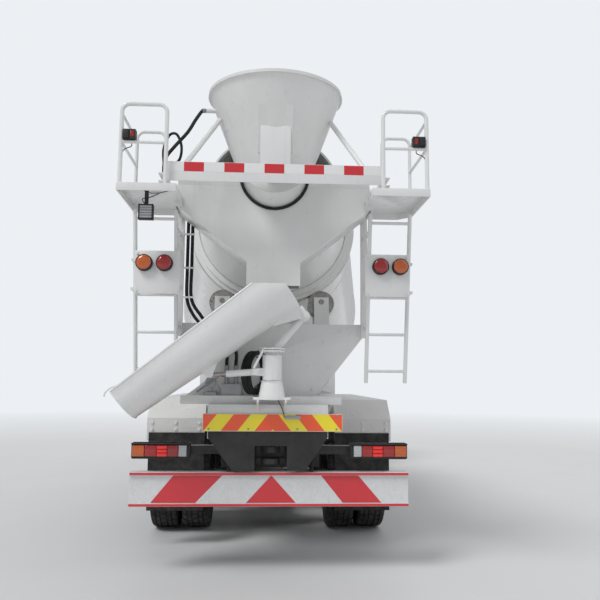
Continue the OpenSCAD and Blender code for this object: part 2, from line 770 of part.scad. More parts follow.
module front_bumper() {
    y0 = front_y - 260;
    module bumper_plan(inset) {
        translate([0, -front_y]) rounded([inset - 1215, 2 * front_y - 600], [1215 - inset,
            2 * front_y - inset], 150 - inset);
    }
    color(grey) union() {
        difference() {
            translate([0, 0, 520]) linear_extrude(435) intersection() {
                bumper_plan(0);
                translate([-1300, y0]) square([2600, 400]);
            }
            translate([0, 0, 500]) linear_extrude(440) intersection() {
                bumper_plan(20);
                translate([-1300, y0 - 10]) square([2600, 400]);
            }
            both() {
                box([775, front_y - 59, 735], [1060, front_y + 1, 905]);
                // Slots for the cab pivot ears
                box([rail_x - 90, y0 - 10, 930], [rail_x - 50, 4612, 970]);
            }
            // Lower air intake and plate recess
            for (z = [570, 640]) box([-520, front_y - 60, z], [520, front_y + 1, z + 45]);
            box([-260, front_y - 8, 760], [260, front_y + 1, 890]);
        }
        // Valance with gaps for the cab pivots
        box([-280, y0 + 10, 950], [280, front_y - 210, 1060]);
        both() {
            box([440, y0 + 10, 950], [1000, front_y - 210, 1060]);
            box([rail_x - 50, rail_y1 + seat_gap, 860], [rail_x - 5, front_y - 55, 941]);
            // Cab steps
            difference() {
                box([1000, 3925, 500], [1195, y0 + 20, 1060]);
                for (z = [550, 810]) box([1050, 3965, z], [1200, 4450, z + 200]);
            }
        }
    }
}

module side_guards() {
    color(steel_black) both() {
        for (z = [560, 760]) box([1180, 420, z], [1205, 880, z + 100]);
        for (y = [520, 760]) {
            box([1140, y, 560], [1180, y + 50, 1000]);
            box([rail_x + seat_gap, y, 940], [1180, y + 50, 1000]);
        }
    }
}

module hoses() {
    color(rubber_black) union() {
        // Two water hoses down the left column to the valves
        for (h = [[-752, -390, 0], [-714, -310, 24]])
            hose([[h[0], hose_y, 2990], [h[0], hose_y, 2860], [h[0], hose_y, 2560], [h[0] + 4, hose_y,
                2300],
                [h[0] + 60 + h[2], hose_y, 2160], [h[0] + 150 + h[2], hose_y, 2060], [h[1] - 50, hose_y,
                    1950],
                [h[1], hose_y, 1830], [h[1], hose_y, 1740], [h[1], hose_y, 1664 + seat_gap]], hose_d);
        // Wash hose from the hopper to the left arm and its loop
        hose([[-570.5, -4260, 3800], [-588, -4260, 3800], [-604, -4260, 3800], [-650, -4330, 3690],
            [-700, -4400, 3560], [-790, -4440, 3430], [-860, -4450, 3330], [-872, -4450, 3260],
            [-872, -4450, 3220], [-872, -4450, 3180 + seat_gap]], 28);
        hose([[-872, -4400, 3180 + seat_gap], [-872, -4400, 3205], [-872, -4400, 3235], [-890, -4395, 3400],
            [-850, -4390, 3530], [-790, -4385, 3545], [-750, -4380, 3450], [-760, -4385, 3340],
            [-820, -4365, 3290], [-862, -4350, 3250], [-862, -4350, 3215], [-862, -4350,
                3180 + seat_gap]], 22);
    }
}

// Wash hose wound in three turns
module hose_coil() {
    color(rubber_black) translate([coil_x, coil_y, coil_z]) rotate([90, 0, coil_turn])
        for (i = [-1:1]) translate([0, 0, i * (coil_d - 4)]) rotate_extrude() translate([coil_r,
            0]) circle(d = coil_d);
}

module valve_bank() {
    color(grey) union() {
        box([-430, hose_y - 40, 1460 + seat_gap], [-260, hose_y + 35, 1560]);
        for (x = [-390, -310]) {
            translate([x, hose_y, 1555]) cylinder(h = 109, r = 16);
            rod([x, hose_y, 1631], [x, hose_y - 60, 1631], 14);
            rod([x - 36, hose_y - 60, 1631], [x + 36, hose_y - 60, 1631], 12);
        }
        // Lever that works the drum speed
        box([-580, hose_y - 50, 1460 + seat_gap], [-470, hose_y + 20, 1490]);
        box([-532, hose_y - 12, 1485], [-518, hose_y, 1600]);
        translate([-525, hose_y - 20, 1575]) rotate([-90, 0, 0]) cylinder(h = 24, r = 46);
        rod([-525, hose_y - 26, 1575], [-640, hose_y - 40, 1492], 18);
        rod([-525, hose_y - 26, 1575], [-440, hose_y - 40, 1640], 16);
    }
}

// Cab

// Side outline of the cab: along the truck, height
cab_outline = [
    [cab_y0, floor_z + 60], [cab_y0, roof_z - 120], [cab_y0 + 90, roof_z - 20], [cab_y0 + 400, roof_z],
    [4250, roof_z], [4420, roof_z - 90], [cab_front - 30, 2020], [cab_front, 1560], [cab_front, 1075],
    [cab_front - wall, 1075], [cab_front - wall, floor_z], [2700, floor_z]];

// Cab form shrunk by inset: side, plan and front outlines cut into each other
module cab_form(inset) {
    intersection() {
        rotate([90, 0, 90]) linear_extrude(cab_w,
            center = true) offset(delta = -inset) polygon(cab_outline);
        translate([0, 0, 900]) linear_extrude(2200) union() {
            rounded([inset - half_cab, cab_y0 - 400], [half_cab - inset, cab_front - inset + 0.01],
                cab_corner - inset);
            rounded([inset - half_cab, cab_y0 + inset - 0.01], [half_cab - inset, cab_y0 + 900],
                70 - inset);
        }
        translate([0, cab_front + 10, 0]) rotate([90, 0, 0]) linear_extrude(2300)
            rounded([inset - half_cab, 600], [half_cab - inset, roof_z - inset + 0.01],
                roof_corner - inset);
    }
}

module cab_body() {
    color(white) difference() {
        union() {
            difference() {
                union() {
                    cab_form(0);
                    // Sun visor
                    side_plate([[4330, 2900], [4590, 2765], [4596, 2776], [4345, 2925]], -980, 980);
                }
                cab_form(wall);
                // Grille opening
                box([-620, cab_front - 42, 1180], [620, cab_front + 5, 1560]);
                door_hole();
                mirror([1, 0, 0]) door_hole();
                // Windscreen
                face_plate([[-1090, 1750], [1090, 1750], [1030, 2700], [-1030, 2700]], 4300, 4900);
                // Rear window
                box([-600, cab_y0 - 10, 2050], [600, cab_y0 + wall + 10, 2600]);
                // Room for the front edges of the doors as they turn
                both() translate([half_cab - 8, hinge_y, 1500]) cylinder(h = 600, r = 14);
            }
            // Grille bars
            for (z = [1215:62:1540]) box([-625, cab_front - 45, z], [625, cab_front - 8, z + 22]);
            both() {
                // Pivot lugs under the floor
                side_plate([[4500, floor_z + 10], [4535, 1015], [4585, 1015], [4620, floor_z + 10]],
                    rail_x - 125, rail_x - 90);
                // Door hinge lugs
                for (z = [1722, 1942]) box([half_cab - 22, hinge_y - 13, z], [half_cab - 2, door_y1 + 61,
                    z + 36]);
            }
        }
        translate([-500, tilt_y, tilt_z]) on_x() cylinder(h = 1000, r = 16 + run_gap);
        both() translate([half_cab - 8, hinge_y, 1700]) cylinder(h = 300, r = 6 + run_gap);
    }
}

// Door outline: along the truck, height
door_outline = [[door_y0, 1230], [door_y1, 1230], [door_y1 + 60, 1700], [door_y1 + 60, 2000],
    [door_y1 - 160, 2780], [door_y0, 2780]];

door_window = [[door_y0 + 110, 2000], [door_y1 - 60, 2000], [door_y1 - 60, 2060], [door_y1 - 230, 2680],
    [door_y0 + 110, 2680]];

module door_hole() {
    side_plate(door_outline, half_cab - wall - 1, half_cab + 10);
}

module door(sx) {
    color(white) mirror([sx < 0 ? 1 : 0, 0, 0]) union() {
        difference() {
            translate([half_cab - wall + 1, 0, 0]) rotate([90, 0,
                90]) linear_extrude(wall - 1) offset(delta = -door_gap) polygon(door_outline);
            side_plate(door_window, half_cab - wall - 2, half_cab + 2);
            for (z = [1715, 1935]) box([half_cab - 40, hinge_y - 21, z], [half_cab + 1, hinge_y + 40,
                z + 50]);
        }
        for (z = [1700, 1920]) translate([half_cab - 8, hinge_y, z]) cylinder(h = 80, r = 6);
    }
}
module door_left() { door(-1); }
module door_right() { door(1); }

module door_glass(sx) {
    color([0.3, 0.4, 0.45, 0.4]) mirror([sx < 0 ? 1 : 0, 0, 0]) translate([half_cab - 35, 0, 0])
        rotate([90, 0, 90]) linear_extrude(glass_t) offset(delta = -seat_gap) polygon(door_window);
}
module door_glass_left() { door_glass(-1); }
module door_glass_right() { door_glass(1); }

module cab_glass() {
    g = seat_gap;
    color([0.3, 0.4, 0.45, 0.4]) union() {
        intersection() {
            difference() {
                cab_form(20);
                cab_form(20 + glass_t);
            }
            face_plate([[-1090 + g, 1750 + g], [1090 - g, 1750 + g], [1030 - g, 2700 - g], [-1030 + g,
                2700 - g]], 4300, 4900);
        }
        box([-600 + g, cab_y0 + 20, 2050 + g], [600 - g, cab_y0 + 26, 2600 - g]);
    }
}

module seats() {
    z = floor_z + wall + seat_gap;
    color([0.15, 0.15, 0.16]) both() {
        box([380, 3170, z], [810, 3680, 1430]);
        box([350, 3180, 1425], [840, 3720, 1560]);
        side_plate([[3180, 1500], [3300, 1540], [3190, 2190], [3090, 2190]], 355, 835);
        side_plate([[3110, 2185], [3180, 2185], [3160, 2400], [3090, 2400]], 470, 720);
    }
}

module dashboard() {
    x = half_cab - wall - seat_gap;
    color([0.12, 0.12, 0.13]) union() {
        intersection() {
            side_plate([[4300, 1700], [4280, 1900], [4400, 1960], [4560, 1900], [4600, 1560], [4500,
                1500]], -x, x);
            cab_form(wall + seat_gap);
        }
        rod([-595, 4320, 1720], [-595, 4020, 1960], 60);
        translate([-595, 4020, 1960]) rotate([40, 0, 0]) rotate_extrude() translate([210,
            0]) circle(d = 30);
        translate([-595, 4020, 1960]) rotate([40, 0, 0]) for (a = [0, 120, 240]) rotate([0, 0,
            a]) translate([0, -12, -8]) cube([205, 24, 16]);
    }
}

module mirrors() {
    x = half_cab + seat_gap;
    color(rubber_black) both() {
        box([1290, 4330, 1850], [1450, 4400, 2350]);
        for (z = [1800, 2420]) rod([x, 4370, z], [1370, 4370, z], 30);
        rod([1370, 4370, 1786], [1370, 4370, 2434], 28);
    }
}

// Steering

module knuckle(sx) {
    mirror([sx < 0 ? 1 : 0, 0, 0]) translate([0, front_axle_y, 0]) color(steel_black) difference() {
        union() {
            for (z = [430, 595]) {
                translate([kingpin_x, 0, z]) cylinder(h = 65, r = 52);
                box([kingpin_x, -45, z], [kingpin_x + 80, 45, z + 65]);
            }
            translate([kingpin_x, 0, 440]) cylinder(h = 200, r = 22);
            box([kingpin_x + 62, -50, 430], [kingpin_x + 90, 50, 660]);
            translate([front_track / 2 - 85, 0, axle_z]) on_x() cylinder(h = 8, r = 180);
            translate([kingpin_x + 70, 0, axle_z]) on_x()
                cylinder(h = front_track / 2 + 90 - kingpin_x - 70, r = spindle_r);
            // Steering arm
            side_plate([[-40, 440], [-180, 440], [-180, 475], [-40, 490]], kingpin_x - 25, kingpin_x + 35);
        }
        translate([kingpin_x, -150, 430]) cylinder(h = 100, r = 12 + run_gap);
    }
}
module knuckle_left() { knuckle(-1); }
module knuckle_right() { knuckle(1); }

module tie_rod() {
    color(steel_black) translate([0, front_axle_y - 150, 0]) union() {
        rod([-kingpin_x, 0, 415], [kingpin_x, 0, 415], 36);
        both() {
            translate([kingpin_x, 0, 396]) cylinder(h = 38, r = 30);
            translate([kingpin_x, 0, 420]) cylinder(h = 66, r = 12);
        }
    }
}

// Wheels

// Half outline of the tyre: radius, distance from the middle, as a share of the half width
module tyre_ring() {
    w = tyre_w / 2;
    b = rim_half - 8 - seat_gap;
    out = [[rim_r, b], [rim_r + 17, b], [rim_r + 30, b + 6], [rim_r + 80, w - 10], [rim_r + 130, w - 1],
        [rim_r + 160, w],
        [tyre_r - 70, w - 4], [tyre_r - 22, w - 18], [tyre_r - 6, w - 32], [tyre_r, w - 50],
        [tyre_r, 70], [tyre_r - 14, 68], [tyre_r - 14, 56], [tyre_r, 54],
        [tyre_r, 8], [tyre_r - 14, 6], [tyre_r - 14, 0]];
    in = [[tyre_r - 34, 0], [tyre_r - 36, w - 60], [tyre_r - 70, w - 24], [rim_r + 100, w - 20],
        [rim_r + 30, b - 18], [rim_r, b - 26]];
    on_x() rotate_extrude() polygon(concat(out,
        [for (i = [len(out) - 2:-1:0]) [out[i][0], -out[i][1]]],
        [for (i = [len(in) - 1:-1:1]) [in[i][0], -in[i][1]]], in));
}

module rim_barrel() {
    h = rim_half;
    rotate_extrude() polygon([
        [rim_r + 16, -h], [rim_r + 16, -h + 8], [rim_r - seat_gap, -h + 8], [rim_r - seat_gap, -40],
            [rim_r - 26, -20],
        [rim_r - 26, 20], [rim_r - seat_gap, 40], [rim_r - seat_gap, h - 8], [rim_r + 16, h - 8],
            [rim_r + 16, h],
        [rim_r - 10, h], [rim_r - 10, 44], [rim_r - 36, 24], [rim_r - 36, -24], [rim_r - 10, -44],
            [rim_r - 10, -h]]);
}

module nuts(x) {
    for (i = [0:9]) rotate([0, 0, i * 36 + 18]) translate([167.5, 0, x]) cylinder(h = 26, r = 17, $fn = 6);
}

module front_rim() {
    on_x() difference() {
        union() {
            rim_barrel();
            rotate_extrude() polygon([[60, 66], [190, 66], [rim_r - 37, 20], [rim_r - 33, 20],
                [rim_r - 33, 34], [196, 78], [60, 78]]);
            translate([0, 0, -60]) cylinder(h = 160, r = 100);
            difference() {
                translate([0, 0, -70]) cylinder(h = 140, r = 205);
                translate([0, 0, -71]) cylinder(h = 128, r = 185);
            }
            translate([0, 0, 77]) cylinder(h = 28, r = 138);
            translate([0, 0, 99]) cylinder(h = 40, r = 78);
            nuts(77);
        }
        translate([0, 0, -61]) cylinder(h = 160, r = spindle_r + run_gap);
        for (i = [0:7]) rotate([0, 0, i * 45]) translate([202, 0, 20]) cylinder(h = 80, r = 13);
    }
}

module twin_rims() {
    p = twin_pitch / 2;
    on_x() difference() {
        union() {
            for (s = [-1, 1]) {
                translate([0, 0, s * p]) rim_barrel();
            }
            // Discs that meet in the middle
            for (s = [0, 1]) mirror([0, 0, s])
                rotate_extrude() polygon([[90, 0], [195, 0], [rim_r - 12, 62], [rim_r - 8, 62],
                    [rim_r - 8, 74], [rim_r - 16, 74], [190, 12], [90, 12]]);
            translate([0, 0, -130]) cylinder(h = 240, r = 100);
            difference() {
                translate([0, 0, -155]) cylinder(h = 150, r = 205);
                translate([0, 0, -156]) cylinder(h = 140, r = 185);
            }
            translate([0, 0, 10]) cylinder(h = 110, r = 138);
            translate([0, 0, 119]) cylinder(h = 50, r = 95);
            nuts(11);
        }
        translate([0, 0, -131]) cylinder(h = 245, r = spindle_r + run_gap);
        for (i = [0:7]) rotate([0, 0, i * 45]) translate([212, 0, -90]) cylinder(h = 180, r = 17);
    }
}

module wheel_place(sx, x, y) {
    mirror([sx < 0 ? 1 : 0, 0, 0]) translate([x, y, axle_z]) children();
}
module twin_tyres() {
    for (s = [-1, 1]) translate([s * twin_pitch / 2, 0, 0]) tyre_ring();
}

module tyre_front_left() { color(rubber_black) wheel_place(-1, front_track / 2, front_axle_y) tyre_ring(); }
module tyre_front_right() { color(rubber_black) wheel_place(1, front_track / 2, front_axle_y) tyre_ring(); }
module rim_front_left() { color(steel_black) wheel_place(-1, front_track / 2, front_axle_y) front_rim(); }
module rim_front_right() { color(steel_black) wheel_place(1, front_track / 2, front_axle_y) front_rim(); }
module tyres_mid_left() { color(rubber_black) wheel_place(-1, rear_track / 2, mid_axle_y) twin_tyres(); }
module tyres_mid_right() { color(rubber_black) wheel_place(1, rear_track / 2, mid_axle_y) twin_tyres(); }
module tyres_last_left() { color(rubber_black) wheel_place(-1, rear_track / 2, last_axle_y) twin_tyres(); }
module tyres_last_right() { color(rubber_black) wheel_place(1, rear_track / 2, last_axle_y) twin_tyres(); }
module rims_mid_left() { color(steel_black) wheel_place(-1, rear_track / 2, mid_axle_y) twin_rims(); }
module rims_mid_right() { color(steel_black) wheel_place(1, rear_track / 2, mid_axle_y) twin_rims(); }
module rims_last_left() { color(steel_black) wheel_place(-1, rear_track / 2, last_axle_y) twin_rims(); }
module rims_last_right() { color(steel_black) wheel_place(1, rear_track / 2, last_axle_y) twin_rims(); }

// Chute

module chute_post() {
    color(white) union() {
        translate([0, post_y, 1475]) cylinder(h = 130, r = 45);
        translate([0, post_y, 1595]) cylinder(h = 200, r = 78);
        translate([0, post_y, 1794]) cylinder(h = 50, r = 58);
        for (z = [1822, 1840]) translate([0, post_y, z]) cylinder(h = 12, r = 104);
        translate([0, post_y, 1814]) for (i = [0:7])
            rotate([0, 0, i * 45]) translate([88, 0, 0]) cylinder(h = 44, r = 8);
        rod([20, post_y, 1842], [pin_x - 20, post_y, pin_z - 19], 64);
        // Turning handle
        rod([-70, post_y - 66, 1842], [-146, post_y - 96, 1690], 20);
        translate([pin_x, post_y - 55, pin_z]) rotate([-90, 0, 0]) cylinder(h = 110, r = 46);
        translate([pin_x, post_y - 85, pin_z]) rotate([-90, 0, 0]) cylinder(h = 170, r = 18);
        // Fork and pin for the jack
        for (s = [-1, 1]) face_plate([[-50, foot_z - 35], [-50, foot_z + 35], [foot_x - 28, foot_z + 25],
            [foot_x - 28, foot_z - 25]], post_y + s * 38 - 6, post_y + s * 38 + 6);
        translate([foot_x, post_y - 44, foot_z]) rotate([-90, 0, 0]) cylinder(h = 88, r = 12);
    }
}

// Trough points down towards -X
module chute() {
    rise = pin_z + 65 - tip_z;
    run = pin_x - 35 - tip_x;
    len = norm([run, rise]);
    axis = atan2(rise, run) + asin((chute_ru - chute_rt) / len);
    // Height of the trough's lowest line
    function low_z(x) = tip_z + (x - tip_x) * rise / run;
    color(white) difference() {
        union() {
            translate([tip_x - chute_rt * sin(axis), post_y, tip_z + chute_rt * cos(axis)]) rotate([0,
                90 - axis, 0]) {
                difference() {
                    cylinder(h = len, r1 = chute_rt, r2 = chute_ru);
                    translate([0, 0, -1]) cylinder(h = len - 7, r1 = chute_rt - chute_t,
                        r2 = chute_ru - chute_t);
                    translate([-500, -500, -1]) cube([500, 1000, len + 2]);
                }
                for (s = [-1, 1]) {
                    translate([-65, 0, 0]) rotate([90, 0, 90]) linear_extrude(65) polygon([
                        [s * (chute_rt - chute_t), 0], [s * chute_rt, 0], [s * chute_ru, len],
                            [s * (chute_ru - chute_t), len]]);
                    rod([-65, s * (chute_rt - 3), 0], [-65, s * (chute_ru - 3), len], 16);
                }
            }
            // Tilt lugs, their tops inside the trough bottom
            for (s = [-1, 1]) face_plate([[pin_x - 40, pin_z - 24], [pin_x + 10, pin_z - 38],
                [pin_x + 38, pin_z - 6],
                [pin_x - 20, low_z(pin_x - 20) + 12], [pin_x - 260, low_z(pin_x - 260) + 12],
                    [pin_x - 240, low_z(pin_x - 240) - 8]],
                post_y + s * 68 - 8, post_y + s * 68 + 8);
            // Jack lugs
            for (s = [-1, 1]) face_plate([[eye_x - 20, eye_z - 22], [eye_x + 20, eye_z - 22],
                [eye_x + 60, low_z(eye_x + 60) + 5], [eye_x - 60, low_z(eye_x - 60) + 5]],
                post_y + s * 27 - 6, post_y + s * 27 + 6);
            translate([eye_x, post_y - 33, eye_z]) rotate([-90, 0, 0]) cylinder(h = 66, r = 10);
        }
        translate([pin_x, post_y - 90, pin_z]) rotate([-90, 0, 0]) cylinder(h = 180, r = 18 + run_gap);
        translate([0, post_y, funnel_z0 - 15]) cylinder(h = 300, r = 450);
    }
}

module jack_barrel() {
    a = atan2(eye_z - foot_z, eye_x - foot_x);
    color(grey) translate([foot_x, post_y, foot_z]) rotate([0, 90 - a, 0]) difference() {
        union() {
            rotate([90, 0, 0]) cylinder(h = 60, r = 24, center = true);
            translate([0, 0, 10]) cylinder(h = 230, r = 27);
        }
        rotate([90, 0, 0]) cylinder(h = 70, r = 12 + run_gap, center = true);
        translate([0, 0, 60]) cylinder(h = 190, r = 16 + run_gap);
    }
}
module jack_rod() {
    a = atan2(eye_z - foot_z, eye_x - foot_x);
    len = norm([eye_x - foot_x, eye_z - foot_z]);
    color(grey) translate([foot_x, post_y, foot_z]) rotate([0, 90 - a, 0]) difference() {
        union() {
            translate([0, 0, 150]) cylinder(h = len - 170, r = 16);
            translate([0, 0, len]) rotate([90, 0, 0]) cylinder(h = 36, r = 28, center = true);
        }
        translate([0, 0, len]) rotate([90, 0, 0]) cylinder(h = 50, r = 19, center = true);
    }
}

frame_rails();
sub_frame();
front_stand();
drum_gearbox();
rear_stand();
discharge_funnel();
feed_hopper();
platforms();
guard_rails();
rear_boards();
rear_bumper();
lamps();
mudguards();
mud_flaps();
water_tank();
fuel_tank();
air_tanks();
engine();
front_axle();
drive_axles();
exhaust();
front_bumper();
side_guards();
hoses();
hose_coil();
valve_bank();
cab_body();
cab_glass();
seats();
dashboard();
mirrors();
door_left();
door_glass_left();
door_right();
door_glass_right();
knuckle_left();
knuckle_right();
tie_rod();
tyre_front_left();
rim_front_left();
tyre_front_right();
rim_front_right();
tyres_mid_left();
rims_mid_left();
tyres_mid_right();
rims_mid_right();
tyres_last_left();
rims_last_left();
tyres_last_right();
rims_last_right();
drum();
roller_left();
roller_right();
chute_post();
chute();
jack_barrel();
jack_rod();
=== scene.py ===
"""Looks of the concrete mixer truck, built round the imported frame.

Metres, Z up. The truck faces +Y and its right side is +X.
"""

import json
from math import acos, cos, pi, radians, sin, sqrt

import bmesh
import bpy
from mathutils import Matrix, Vector


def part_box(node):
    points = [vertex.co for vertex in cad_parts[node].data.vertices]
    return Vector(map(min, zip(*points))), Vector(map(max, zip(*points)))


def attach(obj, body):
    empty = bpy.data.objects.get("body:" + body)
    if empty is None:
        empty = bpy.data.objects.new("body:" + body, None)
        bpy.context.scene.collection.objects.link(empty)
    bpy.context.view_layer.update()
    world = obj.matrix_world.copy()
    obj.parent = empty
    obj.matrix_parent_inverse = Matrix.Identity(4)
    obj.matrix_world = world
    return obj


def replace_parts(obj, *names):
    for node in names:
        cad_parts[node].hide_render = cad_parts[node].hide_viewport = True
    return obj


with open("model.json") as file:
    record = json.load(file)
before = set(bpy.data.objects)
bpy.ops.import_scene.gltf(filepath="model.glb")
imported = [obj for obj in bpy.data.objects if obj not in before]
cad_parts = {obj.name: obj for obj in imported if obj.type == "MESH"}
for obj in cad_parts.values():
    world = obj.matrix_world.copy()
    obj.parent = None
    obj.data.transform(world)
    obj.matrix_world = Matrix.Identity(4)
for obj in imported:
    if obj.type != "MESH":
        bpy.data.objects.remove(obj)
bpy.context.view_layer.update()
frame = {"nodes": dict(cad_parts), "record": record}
scene = bpy.context.scene

# Directions and sides
RIGHT, AHEAD, BACK, UP = (1, 0, 0), (0, 1, 0), (0, -1, 0), (0, 0, 1)
SIDES = ((-1, "left"), (1, "right"))

# Rear beam with its film, and the lamp panels of the ladders
BEAM_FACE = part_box("platforms")[0].y + 0.06
BEAM_TOP = 3.25
BEAM_HALF = 0.85
BEAM_END = BEAM_HALF - 0.01
TAPE_HIGH = 0.073
TAPE_BLOCK = 0.152
TAPE_START = -0.697
PANEL_FACE = -4.130
LAMP_X = (0.890, 1.055)
LAMP_Z = 2.540
LAMP_FACE = -4.1703

# Under-run bumper, tail lamps, marking board and tow plate
BUMPER_LOW, BUMPER_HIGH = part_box("rear_bumper")
BUMPER_TOP = 0.830
TAIL_LOW, TAIL_HIGH = 0.952, 1.062
BOARD_FACE = -3.912
BOARD_LEFT, BOARD_RIGHT = -0.570, 0.600
BOARD_LOW, BOARD_TOP = 1.170, 1.315
TOW_FACE = -3.9005
FILM = 0.0010

# Rear stand, columns, mudguards, hopper and funnel
STAND_FACE = -3.700
COLUMN_REAR = -3.760
MUDGUARD_REAR = -2.900
HOPPER_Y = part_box("feed_hopper")[0].y + 0.560
FUNNEL_FACE = -4.200
FUNNEL_TOP = 3.190
COLLAR_TOP = 3.238
NECK_DROP = 0.077
NECK_HOLE = 0.287

# Chute, hoses and valves
POST_Y = -4.150
CHUTE_TILT = radians(38.13)
CHUTE_TIP = Vector((-1.2035, POST_Y, 1.4473))
CHUTE_TIP_R = 0.200
CHUTE_SIDE = 0.065
COIL_AT = Vector((-0.136, -3.890, 1.658))
COIL_R = 0.170
COIL_TURN = radians(64.0)
HOSE_D = 0.034
HOSE_Y = -3.741
VALVE_X = (-0.390, -0.310)
VALVE_Z = 1.631
FERRULE_Z = 1.664

# Drum: its shell is given by distances from the front end and radii
DRUM_TILT = radians(12.8)
MOUTH = Vector((0.0, -3.782, 3.272))
DRUM_LEN = 5.720
DRUM_BACK = Vector((0.0, -cos(DRUM_TILT), sin(DRUM_TILT)))
DRUM_UP = Vector((0.0, sin(DRUM_TILT), cos(DRUM_TILT)))
DRUM_START = MOUTH - DRUM_BACK * DRUM_LEN
SHELL = ((0.230, 0.860), (1.330, 1.140), (2.600, 1.140), (4.560, 0.820))
RING_AT = 4.960
RING_R = 0.810

# Wheels
TYRE_R = 0.535
TYRE_W = 0.285
RIM_R = 0.254
TWIN_PITCH = 0.330
FRONT_X = 1.005
REAR_X = 0.930
AXLES = {"front": 3.250, "mid": -0.600, "last": -1.950}

# Cab
HALF_CAB = 1.230
CAB_FRONT = 4.690
CAB_CORNER = 0.300
SEAT_X = 0.595


# Camera

def place_camera():
    """The photograph's camera: 1.6 m over the road, looking up and slightly to the right."""
    pitch, yaw, roll = radians(6.9), radians(3.0), radians(0.45)
    sensor, focal_px, photo_px = 36.0, 660.0, 600.0
    level = cos(pitch)
    forward = Vector((sin(yaw) * level, cos(yaw) * level, sin(pitch)))
    right = Vector((cos(yaw), -sin(yaw), 0.0))
    up = right.cross(forward)
    turned_right = cos(roll) * right + sin(roll) * up
    turned_up = cos(roll) * up - sin(roll) * right
    data = bpy.data.cameras.new("camera")
    data.sensor_width = sensor
    data.lens = sensor * focal_px / photo_px
    camera = bpy.data.objects.new("camera", data)
    scene.collection.objects.link(camera)
    turn = Matrix((turned_right, turned_up, -forward)).transposed()
    camera.matrix_world = Matrix.Translation((-0.06, -9.52, 1.60)) @ turn.to_4x4()
    scene.camera = camera


place_camera()


# Materials

BACKGROUND = (0.84, 0.87, 0.90)
DUST = (0.33, 0.29, 0.24)


class Nodes:
    """A node tree, built call by call."""

    def __init__(self, tree):
        self.tree = tree

    def node(self, kind, inputs=(), **settings):
        """Adds a node with its settings and plugs its inputs."""
        made = self.tree.nodes.new(kind)
        for key, value in settings.items():
            setattr(made, key, value)
        for socket, value in dict(inputs).items():
            self.plug(value, made.inputs[socket])
        return made

    def plug(self, value, socket):
        """Links a socket, or sets the value of an unlinked one."""
        if isinstance(value, bpy.types.NodeSocket):
            self.tree.links.new(value, socket)
        elif socket.type == "RGBA":
            socket.default_value = (*value, 1.0)
        else:
            socket.default_value = value

    def calc(self, operation, a, b):
        return self.node("ShaderNodeMath", {0: a, 1: b}, operation=operation).outputs[0]

    def show(self, output, factor, a, b):
        """Sends a mix of two shaders to an output node."""
        mixed = self.node("ShaderNodeMixShader", {0: factor, 1: a.outputs[0], 2: b.outputs[0]})
        self.plug(mixed.outputs[0], self.tree.nodes[output].inputs["Surface"])


class Look(Nodes):
    """One node material, built from noise, masks and mixes on object coordinates."""

    def __init__(self, name, rough, metal=0.0, coat=0.0, specular=0.5):
        self.material = bpy.data.materials.new(name)
        self.material.use_nodes = True
        super().__init__(self.material.node_tree)
        self.shader = self.tree.nodes["Principled BSDF"]
        self.set("Roughness", rough)
        self.set("Metallic", metal)
        self.set("Coat Weight", coat)
        self.set("Specular IOR Level", specular)
        self.where = self.node("ShaderNodeTexCoord").outputs["Object"]

    def set(self, socket, value):
        self.plug(value, self.shader.inputs[socket])

    def base(self, factor, a, b):
        """Sets the base colour to a mix of two."""
        self.set("Base Color", self.mix(factor, a, b))

    def gloss(self, pattern, smooth, dull):
        """Spreads the roughness over a pattern."""
        self.set("Roughness", self.span(pattern, 0.3, 0.7, smooth, dull))

    def stretched(self, scale, turn=(0, 0, 0)):
        sockets = {"Vector": self.where, "Scale": scale, "Rotation": turn}
        return self.node("ShaderNodeMapping", sockets).outputs["Vector"]

    def noise(self, scale, detail, rough=0.55, at=None):
        sockets = {"Vector": at or self.where, "Scale": scale, "Detail": detail, "Roughness": rough}
        return self.node("ShaderNodeTexNoise", sockets).outputs["Fac"]

    def cells(self, scale, feature="F1", at=None):
        sockets = {"Vector": at or self.where, "Scale": scale}
        return self.node("ShaderNodeTexVoronoi", sockets, feature=feature).outputs["Distance"]

    def wave(self, scale, axis):
        sockets = {"Vector": self.where, "Scale": scale}
        return self.node("ShaderNodeTexWave", sockets, bands_direction=axis).outputs["Fac"]

    def span(self, value, low, high, out_low=0.0, out_high=1.0):
        """Maps a range of values to another one and clamps it."""
        sockets = {"Value": value, "From Min": low, "From Max": high, "To Min": out_low,
                   "To Max": out_high}
        return self.node("ShaderNodeMapRange", sockets).outputs["Result"]

    def mix(self, factor, a, b):
        sockets = {"Factor": factor, "A": a, "B": b}
        return self.node("ShaderNodeMix", sockets, data_type="RGBA").outputs["Result"]

    def height(self, of=None):
        """The Z of a place or a direction."""
        return self.node("ShaderNodeSeparateXYZ", {0: of or self.where}).outputs["Z"]

    def facing_up(self):
        """1 on faces that look up, 0 on the rest."""
        normal = self.node("ShaderNodeNewGeometry").outputs["Normal"]
        return self.span(self.height(normal), 0.55, 0.95)

    def bump(self, height, strength, distance):
        """Adds relief on top of what the shader's normal already has."""
        sockets = {"Height": height, "Strength": strength, "Distance": distance}
        for link in self.shader.inputs["Normal"].links:
            sockets["Normal"] = link.from_socket
        self.set("Normal", self.node("ShaderNodeBump", sockets).outputs["Normal"])


def toned(colour, share, lift=0.0):
    """A darker or paler shade of a colour."""
    return tuple(c * share + lift for c in colour)


